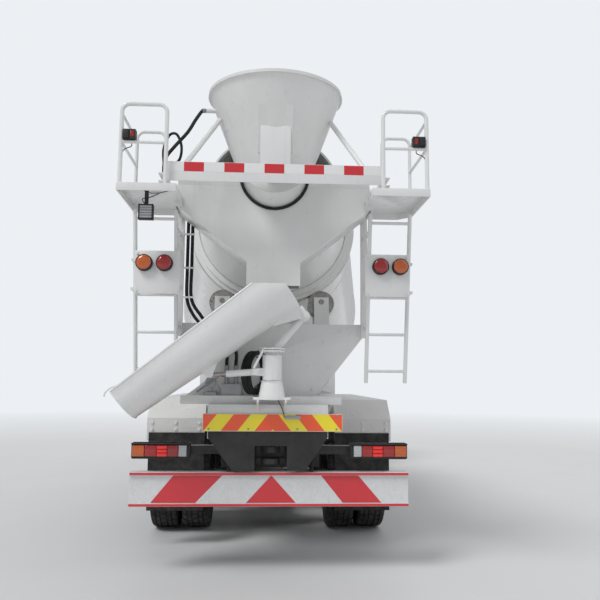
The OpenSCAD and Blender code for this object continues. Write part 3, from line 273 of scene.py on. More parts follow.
def paint(name, colour, rough=0.32, dust=0.30, runs=0.22, coat=0.5, uneven=1.0):
    """Sprayed paint: faint clouds, dust low down and on top faces, rain runs and orange peel."""
    look = Look(name, rough=rough, coat=coat)
    look.set("Coat Roughness", 0.12)
    tone = look.mix(look.span(look.noise(1.7, 5.0), 0.35, 0.70), colour, toned(colour, 0.93))
    low = look.span(look.height(), 1.9, 0.35)
    speckle = look.span(look.noise(38.0, 6.0, 0.7), 0.42, 0.72)
    dirt = look.calc("MULTIPLY", low, look.calc("MULTIPLY", speckle, dust))
    tone = look.mix(dirt, tone, DUST)
    patches = look.span(look.noise(6.0, 5.0), 0.35, 0.75, 0.0, dust * 0.9)
    tone = look.mix(look.calc("MULTIPLY", look.facing_up(), patches), tone, DUST)
    streaks = look.noise(1.0, 5.0, 0.6, look.stretched((26.0, 26.0, 0.7)))
    tone = look.mix(look.span(streaks, 0.56, 0.80, 0.0, runs), tone, toned(colour, 0.62))
    look.set("Base Color", tone)
    smooth, dull = rough - 0.07 * uneven, rough + 0.13 * uneven
    look.gloss(look.noise(9.0, 4.0), smooth, dull)
    look.bump(look.noise(320.0, 2.0), 0.10 * uneven, 0.0006)
    look.bump(look.noise(2.2, 2.0), 0.10 * uneven, 0.004)
    return look.material


def tread_plate(name, colour):
    """Painted chequer plate."""
    look = Look(name, rough=0.38, coat=0.3)
    rows = []
    for turn in (radians(45), radians(-45)):
        bars = look.stretched((62.0, 20.0, 30.0), (0.0, 0.0, turn))
        rows.append(look.span(look.cells(1.0, at=bars), 0.32, 0.22))
    lift = look.calc("MAXIMUM", *rows)
    worn = look.span(look.noise(14.0, 6.0), 0.45, 0.75, 0.0, 0.5)
    look.base(look.calc("MULTIPLY", lift, worn), colour, (0.45, 0.44, 0.42))
    look.bump(lift, 0.6, 0.0015)
    return look.material


def chassis_paint(name="chassis_black", grime=0.45):
    """Black paint with road dust low down and on top faces."""
    look = Look(name, rough=0.42)
    black, worn = (0.016, 0.016, 0.018), (0.035, 0.034, 0.034)
    tone = look.mix(look.span(look.noise(5.0, 5.0), 0.35, 0.7), black, worn)
    dust = look.calc("MULTIPLY", look.span(look.noise(22.0, 6.0, 0.7), 0.40, 0.75), grime)
    low = look.calc("MULTIPLY", dust, look.span(look.height(), 1.5, 0.4))
    tone = look.mix(low, tone, (0.17, 0.15, 0.12))
    settled = look.calc("MULTIPLY", look.facing_up(), grime * 0.8)
    look.base(settled, tone, (0.20, 0.18, 0.15))
    look.gloss(look.noise(12.0, 4.0), 0.32, 0.60)
    look.bump(look.noise(180.0, 4.0), 0.18, 0.0008)
    return look.material


def rubber(name="rubber", colour=(0.022, 0.022, 0.023), dust=0.5, grain=140.0):
    look = Look(name, rough=0.82, specular=0.3)
    patch = look.span(look.noise(11.0, 6.0, 0.65), 0.42, 0.75, 0.0, dust)
    look.base(patch, colour, (0.115, 0.105, 0.090))
    look.gloss(look.noise(30.0, 3.0), 0.70, 0.92)
    look.bump(look.noise(grain, 5.0, 0.7), 0.25, 0.0012)
    return look.material


def metal(name, colour=(0.42, 0.42, 0.43), rough=0.35, brushed=(4.0, 160.0, 160.0)):
    look = Look(name, rough=rough, metal=1.0)
    look.base(look.noise(8.0, 5.0), colour, toned(colour, 0.6))
    lines = look.noise(1.0, 3.0, 0.6, look.stretched(brushed))
    look.gloss(lines, rough - 0.10, rough + 0.20)
    look.bump(lines, 0.08, 0.0005)
    return look.material


def grease_steel():
    """Running surface with stains of grease."""
    look = Look("bright_steel", rough=0.25, metal=1.0)
    stain = look.span(look.noise(24.0, 6.0, 0.7), 0.45, 0.80)
    look.base(stain, (0.42, 0.41, 0.40), (0.26, 0.22, 0.18))
    look.gloss(look.noise(40.0, 4.0), 0.18, 0.50)
    look.bump(look.noise(260.0, 3.0), 0.10, 0.0005)
    return look.material


def tape(name, colour):
    """Retro reflective film: small six sided cells with slightly paler walls between them."""
    look = Look(name, rough=0.30, coat=0.7)
    walls = look.span(look.cells(190.0, "DISTANCE_TO_EDGE"), 0.03, 0.09)
    patch = look.span(look.noise(16.0, 5.0), 0.45, 0.8, 0.0, 0.25)
    tone = look.mix(walls, toned(colour, 0.95, 0.02), colour)
    look.base(patch, tone, toned(colour, 0.80, 0.01))
    look.bump(walls, 0.15, 0.0004)
    return look.material


def lens(name, colour, glow=0.0):
    """Coloured lamp lens with moulded flutes."""
    look = Look(name, rough=0.12, coat=1.0)
    flutes = look.wave(150.0 / 6.28, "Z")
    deep = toned(colour, 0.55)
    cell = look.span(look.cells(120.0, "DISTANCE_TO_EDGE"), 0.02, 0.10)
    tone = look.mix(look.calc("MULTIPLY", flutes, 0.7), colour, deep)
    look.base(cell, deep, tone)
    look.set("Emission Color", colour)
    look.set("Emission Strength", glow)
    look.set("Transmission Weight", 0.12)
    look.bump(flutes, 0.5, 0.0015)
    return look.material


def glass():
    look = Look("window_glass", rough=0.02)
    look.set("Transmission Weight", 0.92)
    look.set("IOR", 1.45)
    smear = look.span(look.noise(5.0, 6.0, 0.7), 0.45, 0.80)
    look.base(smear, (0.74, 0.80, 0.79), (0.66, 0.71, 0.70))
    look.set("Roughness", look.span(smear, 0.0, 1.0, 0.01, 0.10))
    return look.material


def plastic(name, colour, rough=0.55):
    look = Look(name, rough=rough)
    look.base(look.noise(3.0, 5.0), colour, toned(colour, 0.8, 0.004))
    look.gloss(look.noise(25.0, 3.0), rough - 0.08, rough + 0.12)
    look.bump(look.noise(420.0, 3.0), 0.20, 0.0006)
    return look.material


def fabric(name, colour):
    look = Look(name, rough=0.9, specular=0.2)
    look.set("Sheen Weight", 0.3)
    weave = look.calc("MULTIPLY", look.wave(160.0, "X"), look.wave(160.0, "Z"))
    look.base(weave, toned(colour, 0.5), colour)
    look.bump(weave, 0.4, 0.0008)
    return look.material


def floor_look():
    """Pale floor that keeps the shadow and fades into the plain background."""
    look = Look("studio_floor", rough=0.75)
    look.base(look.noise(0.8, 5.0), (0.66, 0.66, 0.66), (0.62, 0.62, 0.625))
    look.bump(look.noise(60.0, 4.0), 0.05, 0.002)
    away = look.node("ShaderNodeVectorMath", {0: look.where}, operation="LENGTH")
    far = look.span(away.outputs["Value"], 9.0, 26.0)
    backdrop = look.node("ShaderNodeEmission", {"Color": BACKGROUND})
    rays = look.node("ShaderNodeLightPath").outputs
    seen = look.calc("MAXIMUM", rays["Is Camera Ray"], rays["Is Glossy Ray"])
    look.show("Material Output", look.calc("MULTIPLY", far, seen), look.shader, backdrop)
    return look.material


WHITE = paint("white_paint", (0.83, 0.83, 0.82), runs=0.16)
# Hopper and funnel paint: a slightly darker, warmer copy of the white paint, painted shade for the
# hopper, funnel and collar under the beam.
HOPPER_SHADED_WHITE = paint("hopper_white_painted_shade", (0.80, 0.80, 0.785))
CAB_WHITE = paint("cab_white", (0.84, 0.84, 0.835), 0.22, dust=0.02, runs=0.02, coat=0.8,
                  uneven=0.2)
DRUM_WHITE = paint("drum_white", (0.82, 0.82, 0.805), dust=0.20, runs=0.18)
BUMPER_GREY = paint("bumper_grey", (0.74, 0.75, 0.76), dust=0.25)
CHEQUER = tread_plate("chequer_plate", (0.72, 0.71, 0.69))
CHASSIS = chassis_paint()
WHEEL = chassis_paint("wheel_black")
# Tow plate black: chassis black with little dust, darker as painted shade under the body.
TOW_BLACK_SHADED = chassis_paint("tow_black_painted_shade", 0.10)
RUBBER = rubber()
TREAD = rubber("tread_rubber", (0.026, 0.026, 0.027), 0.65, 90.0)
HOSE = rubber("hose_rubber", (0.018, 0.018, 0.019), 0.25, 300.0)
SEALER = rubber("seal_rubber", (0.020, 0.020, 0.021), 0.15, 200.0)
STEEL = metal("steel")
ALUMINIUM = metal("aluminium", (0.62, 0.62, 0.63), 0.28, (4.0, 90.0, 4.0))
MIRROR = metal("mirror_glass", (0.80, 0.82, 0.83), 0.12, (1.0, 1.0, 1.0))
BRIGHT = grease_steel()
TAPE_RED = tape("tape_red", (0.66, 0.018, 0.030))
TAPE_WHITE = tape("tape_white", (0.86, 0.86, 0.85))
BOARD_ORANGE = tape("board_orange", (1.0, 0.090, 0.004))
BOARD_YELLOW = tape("board_yellow", (1.0, 0.83, 0.004))
LENS_RED = lens("lens_red", (0.52, 0.006, 0.006))
LENS_GLOW = lens("lens_red_bright", (0.78, 0.015, 0.010), 0.35)
LENS_AMBER = lens("lens_amber", (0.85, 0.16, 0.015))
LENS_CLEAR = lens("lens_clear", (0.72, 0.74, 0.76))
GLASS = glass()
BLACK_PLASTIC = plastic("black_plastic", (0.018, 0.018, 0.019))
GREY_PLASTIC = plastic("grey_plastic", (0.12, 0.12, 0.125))
LAMP_GREY = plastic("lamp_grey", (0.46, 0.46, 0.46))
HANDLE_RED = plastic("handle_red", (0.55, 0.02, 0.02), 0.35)
SEAT_CLOTH = fabric("seat_cloth", (0.10, 0.11, 0.13))


# Mesh tools

def frame_of(axis):
    """Two directions across an axis, and the axis."""
    w = Vector(axis).normalized()
    side = Vector(UP) if abs(w.z) < 0.9 else Vector(AHEAD)
    u = side.cross(w).normalized()
    return u, w.cross(u), w


def angles(steps, count=None):
    """Angles of a full turn in equal steps; a count of one more closes the ring."""
    return [2 * pi * k / steps for k in range(count or steps)]


class Pile:
    """Solids of one material on one body, gathered into one piece."""

    def __init__(self):
        self.bm = bmesh.new()

    def solid(self, points, faces):
        made = [self.bm.verts.new(p) for p in points]
        for face in faces:
            self.bm.faces.new([made[i] for i in face])

    def box(self, a, b):
        """Box between two opposite corners."""
        xs, ys, zs = (sorted(pair) for pair in zip(a, b))
        self.solid([(x, y, z) for z in zs for y in ys for x in xs],
                   [(0, 2, 3, 1), (4, 5, 7, 6), (0, 1, 5, 4),
                    (2, 6, 7, 3), (0, 4, 6, 2), (1, 3, 7, 5)])

    def plate(self, outline, y, thick):
        """Outline in X and Z, thickened to the rear."""
        flat = [Vector((x, y, z)) for x, z in outline]
        n = len(flat)
        faces = [tuple(range(n - 1, -1, -1)), tuple(range(n, 2 * n))]
        faces += [(i, (i + 1) % n, n + (i + 1) % n, n + i) for i in range(n)]
        self.solid(flat + [p + Vector(BACK) * thick for p in flat], faces)

    def lathe(self, at, axis, rings, sides):
        """Turned solid: rings of (distance along the axis, radius); a radius of 0 closes it."""
        u, v, w = frame_of(axis)
        made = []
        for along, radius in rings:
            middle = Vector(at) + w * along
            if radius:
                made.append([self.bm.verts.new(middle + (u * cos(a) + v * sin(a)) * radius)
                             for a in angles(sides)])
            else:
                made.append([self.bm.verts.new(middle)])
        for low, high in zip(made, made[1:]):
            for k in range(sides):
                nxt = (k + 1) % sides
                ring = [low[k % len(low)], low[nxt % len(low)],
                        high[nxt % len(high)], high[k % len(high)]]
                self.bm.faces.new(list(dict.fromkeys(ring)))

    def rod(self, a, b, d, sides=16):
        a, b = Vector(a), Vector(b)
        r, h = d / 2, (b - a).length
        self.lathe(a, b - a, [(0, 0), (0, r), (h, r), (h, 0)], sides)

    def bolt(self, at, axis, d):
        """Washer and six sided head."""
        washer, head = d * 1.15, d * 0.9
        self.lathe(at, axis, [(-0.001, 0), (-0.001, washer), (d * 0.16, washer), (d * 0.16, 0)], 14)
        self.lathe(at, axis, [(d * 0.1, 0), (d * 0.1, head), (d * 0.7, head), (d * 0.82, d * 0.72),
                              (d * 0.82, 0)], 6)

    def tube(self, points, d, sides=8, steps=6):
        """Round bar or hose through points, smoothed."""
        path = smooth_path([Vector(p) for p in points], steps)
        u = None
        rings = []
        for i, p in enumerate(path):
            t = (path[min(i + 1, len(path) - 1)] - path[max(i - 1, 0)]).normalized()
            u = frame_of(t)[0] if u is None else (u - t * u.dot(t)).normalized()
            v = t.cross(u)
            rings.append([self.bm.verts.new(p + (u * cos(a) + v * sin(a)) * d / 2)
                          for a in angles(sides)])
        for low, high in zip(rings, rings[1:]):
            for k in range(sides):
                nxt = (k + 1) % sides
                self.bm.faces.new((low[k], low[nxt], high[nxt], high[k]))
        self.bm.faces.new(list(reversed(rings[0])))
        self.bm.faces.new(rings[-1])

    def piece(self, name, look, bevel=0.0, segments=2, body="chassis", mirrored=False):
        """Turns the pile into a piece that rides on a body."""
        if mirrored:
            kept = list(self.bm.verts) + list(self.bm.edges) + list(self.bm.faces)
            copy = bmesh.ops.duplicate(self.bm, geom=kept)["geom"]
            copied = [part for part in copy if isinstance(part, bmesh.types.BMVert)]
            bmesh.ops.scale(self.bm, vec=(-1, 1, 1), verts=copied)
        bmesh.ops.recalc_face_normals(self.bm, faces=self.bm.faces)
        return finished(name, mesh_of(name, self.bm, look), body, bevel, segments)


def mesh_of(name, bm, look):
    """Turns a worked mesh into a mesh with one material."""
    mesh = bpy.data.meshes.new(name)
    bm.to_mesh(mesh)
    bm.free()
    mesh.materials.clear()
    mesh.materials.append(look)
    return mesh


def finished(name, mesh, body, bevel=0.0, segments=2, angle=35.0):
    """Makes a piece: rounds its edges, shades it and rides it on its body."""
    made = bpy.data.objects.new(name, mesh)
    scene.collection.objects.link(made)
    if bevel:
        cut = made.modifiers.new("bevel", "BEVEL")
        cut.width = bevel
        cut.segments = segments
        cut.limit_method = "ANGLE"
        cut.angle_limit = radians(angle)
        graph = bpy.context.evaluated_depsgraph_get()
        rounded = bpy.data.meshes.new_from_object(made.evaluated_get(graph))
        made.modifiers.clear()
        made.data = rounded
    made.data.shade_smooth()
    made.data.set_sharp_from_angle(angle=radians(angle))
    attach(made, body)
    return made


def smooth_path(points, steps):
    """Points of a curve that passes through the given ones."""
    path = []
    for i in range(len(points) - 1):
        a, b = points[max(i - 1, 0)], points[i]
        c, d = points[i + 1], points[min(i + 2, len(points) - 1)]
        for k in range(steps):
            t = k / steps
            path.append(0.5 * (2 * b + (c - a) * t + (2 * a - 5 * b + 4 * c - d) * t * t
                               + (3 * b - a - 3 * c + d) * t * t * t))
    return path + [points[-1]]


def soften(node, look, bevel):
    """A copy of a node's solids with rounded edges, shown in its place."""
    bm = bmesh.new()
    bm.from_mesh(frame["nodes"][node].data)
    bmesh.ops.remove_doubles(bm, verts=bm.verts, dist=2e-5)
    bmesh.ops.dissolve_limit(bm, angle_limit=radians(0.6), verts=bm.verts, edges=bm.edges)
    name = node + "_finish"
    made = finished(name, mesh_of(name, bm, look), body_of(node), bevel, angle=28.0)
    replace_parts(made, node)
    return made


def body_of(node):
    """The body that holds a node."""
    bodies = frame["record"]["behaviour"]["bodies"]
    return next(name for name, held in bodies.items() if node in held)


# Finishes of the solids

def dress_frame():
    """Materials for the nodes that keep their own shape, and rounded copies for sheet metal."""
    plain = [
        (CHASSIS, "frame_rails front_axle drive_axles side_guards air_tanks tie_rod"),
        (CHASSIS, "knuckle_left knuckle_right"),
        (GREY_PLASTIC, "engine dashboard"),
        (BLACK_PLASTIC, "mirrors lamps"),
        (STEEL, "exhaust valve_bank"),
        (BRIGHT, "roller_left roller_right jack_rod"),
        (WHITE, "water_tank jack_barrel guard_rails"),
        (GLASS, "cab_glass door_glass_left door_glass_right"),
        (WHEEL, "rim_front_left rim_front_right rims_mid_left rims_mid_right"),
        (WHEEL, "rims_last_left rims_last_right"),
        (DRUM_WHITE, "drum"), (HOPPER_SHADED_WHITE, "feed_hopper"), (BUMPER_GREY, "drum_gearbox"),
        (ALUMINIUM, "fuel_tank"), (RUBBER, "mud_flaps"), (HOSE, "hoses"),
    ]
    rounded = {
        "sub_frame": (WHITE, 0.002), "front_stand": (WHITE, 0.003), "rear_stand": (WHITE, 0.002),
        "discharge_funnel": (HOPPER_SHADED_WHITE, 0.002), "platforms": (WHITE, 0.0015),
        "rear_boards": (WHITE, 0.0015), "rear_bumper": (BUMPER_GREY, 0.003),
        "mudguards": (CHEQUER, 0.002), "front_bumper": (CAB_WHITE, 0.010),
        "cab_body": (CAB_WHITE, 0.012), "door_left": (CAB_WHITE, 0.006),
        "door_right": (CAB_WHITE, 0.006), "chute": (WHITE, 0.0015), "chute_post": (WHITE, 0.003),
    }
    for look, names in plain:
        for node in names.split():
            for slot in frame["nodes"][node].material_slots:
                slot.material = look
    for node, (look, bevel) in rounded.items():
        made = soften(node, look, bevel)
        if node == "rear_bumper":
            black_arms(made)


def black_arms(made):
    """The arms of the under-run bumper are black, its channel is pale."""
    made.data.materials.append(CHASSIS)
    channel_front = BUMPER_LOW.y + 0.034
    for face in made.data.polygons:
        ahead = face.center.y > channel_front and face.area < 0.2
        if ahead and 0.30 < abs(face.center.x) < 0.40:
            face.material_index = 1


# Wheels

def tyre_mesh():
    """Truck tyre with five rows of blocks, notched shoulders and ringed side walls, along X."""
    half, bead = TYRE_W / 2, 0.0967
    # Half of the outline, with the block row that each point belongs to (0 in the middle, -1 none).
    # Tread: distance from the middle and depth. Wall: in from the side and depth. Foot: on the rim.
    tread = [(0.006, 0.0, 0), (0.027, 0.0, 0), (0.030, 0.014, -1), (0.036, 0.014, -1),
             (0.039, 0.0, 1), (0.076, 0.001, 1), (0.079, 0.015, -1), (0.085, 0.015, -1),
             (0.088, 0.001, 2)]
    wall = [(0.022, 0.005, 2), (0.009, 0.016, 2), (0.006, 0.040, 2), (0.009, 0.058, -1),
            (0.003, 0.064, -1), (0.0, 0.110, -1), (0.0005, 0.128, -1), (0.004, 0.131, -1),
            (0.004, 0.140, -1), (0.001, 0.143, -1)]
    foot = [(half - 0.008, 0.085), (half - 0.012, 0.060), (bead + 0.020, 0.040),
            (bead + 0.008, 0.026), (bead + 0.006, 0.020), (bead, 0.010), (bead - 0.001, 0.0)]
    side = [(x, TYRE_R - depth, row) for x, depth, row in tread]
    side += [(half - inset, TYRE_R - depth, row) for inset, depth, row in wall]
    side += [(x, RIM_R + rise, -1) for x, rise in foot]
    outline = [(-x, r, row) for x, r, row in reversed(side)] + side
    pitches, cut, slant = 40, 0.012, 0.9 * 0.35
    shares = (0.17, 0.19, 0.29, 0.31, 0.67, 0.69, 0.79, 0.81)
    bm = bmesh.new()
    rings = []
    for p in range(pitches):
        for k, share in enumerate(shares):
            ring = []
            for x, r, row in outline:
                notch = (row in (0, 2) and k in (1, 2)) or (row == 1 and k in (5, 6))
                depth = cut if notch else 0.0
                lean = 0.0 if row < 0 else slant * abs(x) * (-1 if row == 1 else 1)
                a = 2 * pi * (p + share) / pitches + lean
                ring.append(bm.verts.new((x, (r - depth) * cos(a), (r - depth) * sin(a))))
            rings.append(ring)
    n = len(outline)
    for i, ring in enumerate(rings):
        after = rings[(i + 1) % len(rings)]
        for k in range(n):
            bm.faces.new((ring[k], ring[(k + 1) % n], after[(k + 1) % n], after[k]))
    bmesh.ops.recalc_face_normals(bm, faces=bm.faces)
    return mesh_of("tyre", bm, TREAD)


def tyres():
    """Every tyre shows the same treaded mesh, in place of the plain solids."""
    base = tyre_mesh()
    for axle, y in AXLES.items():
        single = axle == "front"
        for side, word in SIDES:
            node = ("tyre_%s_%s" if single else "tyres_%s_%s") % (axle, word)
            x = side * (FRONT_X if single else REAR_X)
            for k, offset in enumerate((0.0,) if single else (-TWIN_PITCH / 2, TWIN_PITCH / 2)):
                mesh = base.copy()
                mesh.transform(Matrix.Translation((x + offset, y, TYRE_R)))
                name = "tread_%s_%s_%d" % (axle, word, k)
                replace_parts(finished(name, mesh, body_of(node), angle=30.0), node)


# Rear marks and lamps

def beam_tape():
    """Red and white film across the rear beam."""
    red, white = Pile(), Pile()
    face, high = BEAM_FACE - 0.0012, BEAM_TOP - 0.003
    low = high - TAPE_HIGH
    x, start = TAPE_START, -BEAM_END
    while x < BEAM_HALF - 0.06:
        after = min(x + TAPE_BLOCK, BEAM_END)
        red.box((x, face, low), (after, BEAM_FACE, high))
        white.box((start, face, low), (x, BEAM_FACE, high))
        start = after
        x += 2 * TAPE_BLOCK + 0.003
    white.box((start, face, low), (BEAM_END, BEAM_FACE, high))
    red.piece("beam_tape_red", TAPE_RED)
    white.piece("beam_tape_white", TAPE_WHITE)


def bumper_marks():
    """Red lip strips, two slanted blocks and a triangle on the under-run bumper."""
    low, high = BUMPER_LOW, BUMPER_HIGH
    lips, marks = Pile(), Pile()
    for z in (BUMPER_TOP - 0.0215, low.z + 0.0015):
        lips.box((low.x + 0.002, low.y - FILM, z), (high.x - 0.002, low.y, z + 0.020))
    web = low.y + 0.024
    z0, z1 = low.z + 0.026, BUMPER_TOP - 0.026
    for outline in ([(-0.990, z0), (-0.620, z0), (-0.400, z1), (-0.805, z1)],
                    [(-0.200, z0), (0.215, z0), (0.008, z1)],
                    [(0.608, z0), (0.935, z0), (0.740, z1), (0.425, z1)]):
        marks.plate(outline, web, FILM)
    lips.piece("bumper_lip_tape", TAPE_RED)
    marks.piece("bumper_marks", TAPE_RED)


def board_stripes():
    """Slanted orange and yellow stripes that meet in an arrow at the middle."""
    low, high = BOARD_LOW + 0.004, BOARD_TOP - 0.004
    middle = (BOARD_LEFT + BOARD_RIGHT) / 2
    edge = (BOARD_RIGHT - BOARD_LEFT) / 2 - 0.004
    wide, first, lean = 0.141, 0.012, 0.79 * (high - low)
    orange, yellow = Pile(), Pile()
    for side, _ in SIDES:
        for k in range(-1, 6):
            a = first + k * wide
            stripe = [(a, low), (a + wide, low), (a + wide - lean, high), (a - lean, high)]
            stripe = clip_line(clip_line(stripe, 0.0, 1), edge, -1)
            if len(stripe) > 2:
                pile = yellow if k % 2 else orange
                pile.plate([(middle + side * u, v) for u, v in stripe], BOARD_FACE, FILM)
    orange.piece("board_orange_stripes", BOARD_ORANGE)
    yellow.piece("board_yellow_stripes", BOARD_YELLOW)


def clip_line(shape, limit, side):
    """Cuts a flat outline at u = limit, keeping what lies on the given side."""
    kept = []
    for (u0, v0), (u1, v1) in zip(shape, shape[1:] + shape[:1]):
        in0, in1 = side * (u0 - limit) >= 0, side * (u1 - limit) >= 0
        if in0:
            kept.append((u0, v0))
        if in0 != in1:
            t = (limit - u0) / (u1 - u0)
            kept.append((limit, v0 + t * (v1 - v0)))
    return kept


def tail_lamps():
    """Long tail lamps: amber end, reflector, bright bars and reversing lamp in a black housing."""
    face = BUMPER_LOW.y + 0.010
    fields = [(1.148, 1.050, LENS_AMBER, "amber"), (1.046, 0.950, LENS_RED, "side"),
              (0.946, 0.862, LENS_GLOW, "bright"), (0.858, 0.770, LENS_RED, "inner"),
              (0.766, 0.700, LENS_CLEAR, "reverse")]
    for side, word in SIDES:
        for outer, inner, look, field in fields:
            pile = Pile()
            rows, gap = (3, 0.004) if field == "bright" else (1, 0.0)
            step = (TAIL_HIGH - TAIL_LOW - 0.018) / rows
            for k in range(rows):
                z = TAIL_LOW + 0.008 + step * k
                pile.box((side * outer, face - 0.016, z),
                         (side * inner, face + 0.012, z + step - gap))
            pile.piece("tail_lamp_%s_%s" % (word, field), look, 0.005, 3)
        case = Pile()
        outer, inner, depth = side * 1.156, side * 0.672, face + 0.070
        case.box((outer, face - 0.004, TAIL_LOW - 0.006), (inner, depth, TAIL_HIGH + 0.004))
        case.box((outer, face - 0.024, TAIL_HIGH - 0.002), (inner, depth, TAIL_HIGH + 0.008))
        case.piece("tail_lamp_%s_case" % word, BLACK_PLASTIC, 0.003)


def round_lamps():
    """Round lamps on the ladder panels: red inside and amber outside."""
    dome = [(0, 0), (0, 0.060), (0.010, 0.059), (0.016, 0.052), (0.020, 0.036), (0.022, 0.015),
            (0.0225, 0)]
    rim = [(-0.04, 0), (-0.04, 0.067), (0.006, 0.067), (0.010, 0.064), (0.008, 0.059),
           (0.001, 0.058), (0.001, 0)]
    for side, word in SIDES:
        for k, look in enumerate((LENS_RED, LENS_AMBER)):
            at = (side * LAMP_X[k], LAMP_FACE, LAMP_Z)
            for name, rings, shown in (("round_lamp_%s_%d", dome, look),
                                       ("round_lamp_rim_%s_%d", rim, BLACK_PLASTIC)):
                pile = Pile()
                pile.lathe(at, BACK, rings, 40)
                pile.piece(name % (word, k), shown)


# Rear details

def neck_seal():
    """Black rubber round the funnel's hole for the neck, and the funnel's wall beside the hole."""
    start = MOUTH - DRUM_UP * NECK_DROP
    middle = start + DRUM_BACK * ((FUNNEL_FACE - start.y) / DRUM_BACK.y)
    wide, tall = NECK_HOLE - 0.006, (NECK_HOLE - 0.006) / cos(DRUM_TILT)
    end = acos((middle.z - COLLAR_TOP + 0.004) / tall)
    seal = Pile()
    path = [(wide * sin(a), FUNNEL_FACE - 0.002, middle.z - tall * cos(a))
            for a in (end * (k / 14 - 1) for k in range(29))]
    seal.tube(path, 0.024, steps=2)
    seal.piece("neck_seal", SEALER)
    collar = Pile()
    side = 0.792
    inner = [NECK_HOLE * sqrt(1 - ((middle.z - z) / (NECK_HOLE / cos(DRUM_TILT))) ** 2)
             for z in (FUNNEL_TOP, COLLAR_TOP)]
    outline = [(inner[0], FUNNEL_TOP), (side, FUNNEL_TOP), (side, COLLAR_TOP),
               (inner[1], COLLAR_TOP)]
    collar.plate(outline, FUNNEL_FACE + 0.006, 0.006)
    collar.piece("funnel_collar", HOPPER_SHADED_WHITE, mirrored=True)


def hopper_front():
    """Flat box panel on the rear of the hopper and the cone's last stretch down to the neck."""
    panel, skirt = Pile(), Pile()
    panel.box((-0.118, HOPPER_Y - 0.400, BEAM_TOP + 0.001), (0.118, HOPPER_Y - 0.250, 3.600))
    # The panel keeps the plain white paint, paler than the painted shade of the hopper round it.
    panel.piece("hopper_panel", WHITE, 0.004, 3)
    rings = [(3.262, 0), (3.262, 0.292), (3.351, 0.3258), (3.351, 0)]
    skirt.lathe((0, HOPPER_Y, 0), UP, rings, 72)
    skirt.piece("hopper_skirt", HOPPER_SHADED_WHITE)


def tow_plate():
    """Black plate that hangs from the rear end box, with cheeks on both sides of the tow jaw."""
    pile = Pile()
    thick, top, bolt_z = 0.005, 1.168, 1.145
    outline = [(-0.525, top), (-0.525, 1.120), (-0.320, 0.850), (-0.135, 0.850), (-0.135, 1.050),
               (0.135, 1.050), (0.135, 0.850), (0.290, 0.850), (0.475, 1.120), (0.475, top)]
    pile.plate(outline, TOW_FACE, thick)
    for x in (-0.44, -0.20, 0.16, 0.40):
        pile.bolt((x, TOW_FACE - thick, bolt_z), BACK, 0.012)
    # Its dark black is painted shade under the body.
    pile.piece("tow_plate", TOW_BLACK_SHADED, 0.0012)


def chute_lip():
    """Rolled bead round the chute tip with a latch rod for the extension trough."""
    down = Vector((sin(CHUTE_TILT), 0, -cos(CHUTE_TILT)))
    along = Vector((cos(CHUTE_TILT), 0, sin(CHUTE_TILT)))
    side = Vector(AHEAD)
    arc = [CHUTE_TIP + down * (CHUTE_TIP_R * cos(a)) + side * (CHUTE_TIP_R * sin(a))
           for a in (pi * (k / 16 - 0.5) for k in range(17))]
    path = [arc[0] - down * CHUTE_SIDE] + arc + [arc[-1] - down * CHUTE_SIDE]
    lip = Pile()
    lip.tube([p + along * 0.006 for p in path], 0.016, steps=2)
    for s, _ in SIDES:
        corner = CHUTE_TIP + side * (s * CHUTE_TIP_R) - down * CHUTE_SIDE
        lip.tube([corner + along * 0.09, corner + along * 0.02 - down * 0.02,
                  corner - along * 0.035 - down * 0.012, corner - along * 0.055 + down * 0.005],
                 0.013, steps=4)
    lip.piece("chute_lip", WHITE, body="chute")


def hose_fittings():
    """Steel ferrules and worm clips on the hose ends, red valve handles."""
    steel, red = Pile(), Pile()
    ferrule = [(-0.03, 0), (-0.03, 0.020), (-0.005, 0.020), (-0.005, 0.0175), (0.055, 0.0175),
               (0.055, 0)]
    clip = [(0, 0), (0, 0.0195), (0.008, 0.0195), (0.008, 0)]
    for x in VALVE_X:
        steel.lathe((x, HOSE_Y, FERRULE_Z), UP, ferrule, 20)
        for rise in (0.018, 0.040):
            steel.lathe((x, HOSE_Y, FERRULE_Z + rise), UP, clip, 20)
        red.rod((x - 0.038, HOSE_Y - 0.060, VALVE_Z), (x + 0.038, HOSE_Y - 0.060, VALVE_Z), 0.021)
        steel.bolt((x, HOSE_Y - 0.068, VALVE_Z), BACK, 0.012)
    steel.rod((-0.574, -4.260, 3.800), (-0.604, -4.260, 3.800), 0.036)
    steel.piece("hose_fittings", STEEL)
    red.piece("valve_handles", HANDLE_RED, 0.002)


def hose_coil():
    """The wash hose: three wound turns over the hook."""
    across = Vector((cos(COIL_TURN), sin(COIL_TURN), 0))
    axis = Vector((sin(COIL_TURN), -cos(COIL_TURN), 0))
    turns, steps, half_wide = 3.15, 34, 0.046
    count = int(turns * steps)
    path = []
    for k in range(count + 1):
        a = 2 * pi * k / steps - 0.5 * pi * 1.15
        wobble = 0.004 * sin(3 * a + 0.7) + 0.003 * sin(5.3 * a)
        r = COIL_R + wobble * (1 - abs(sin(a)) * 0.6) - 0.001
        path.append(COIL_AT + across * (r * cos(a)) + Vector((0, 0, r * sin(a)))
                    + axis * (half_wide * (1 - 2 * k / count)))
    pile, tip = Pile(), Pile()
    pile.tube(path, HOSE_D, 10, 1)
    made = pile.piece("wash_hose", HOSE)
    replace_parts(made, "hose_coil")
    nozzle = [(-0.03, 0), (-0.03, 0.0195), (0.012, 0.0195), (0.014, 0.015), (0.05, 0.012),
              (0.05, 0)]
    tip.lathe(path[-1], path[-1] - path[-2], nozzle, 16)
    fitting = tip.piece("wash_hose_nozzle", STEEL)


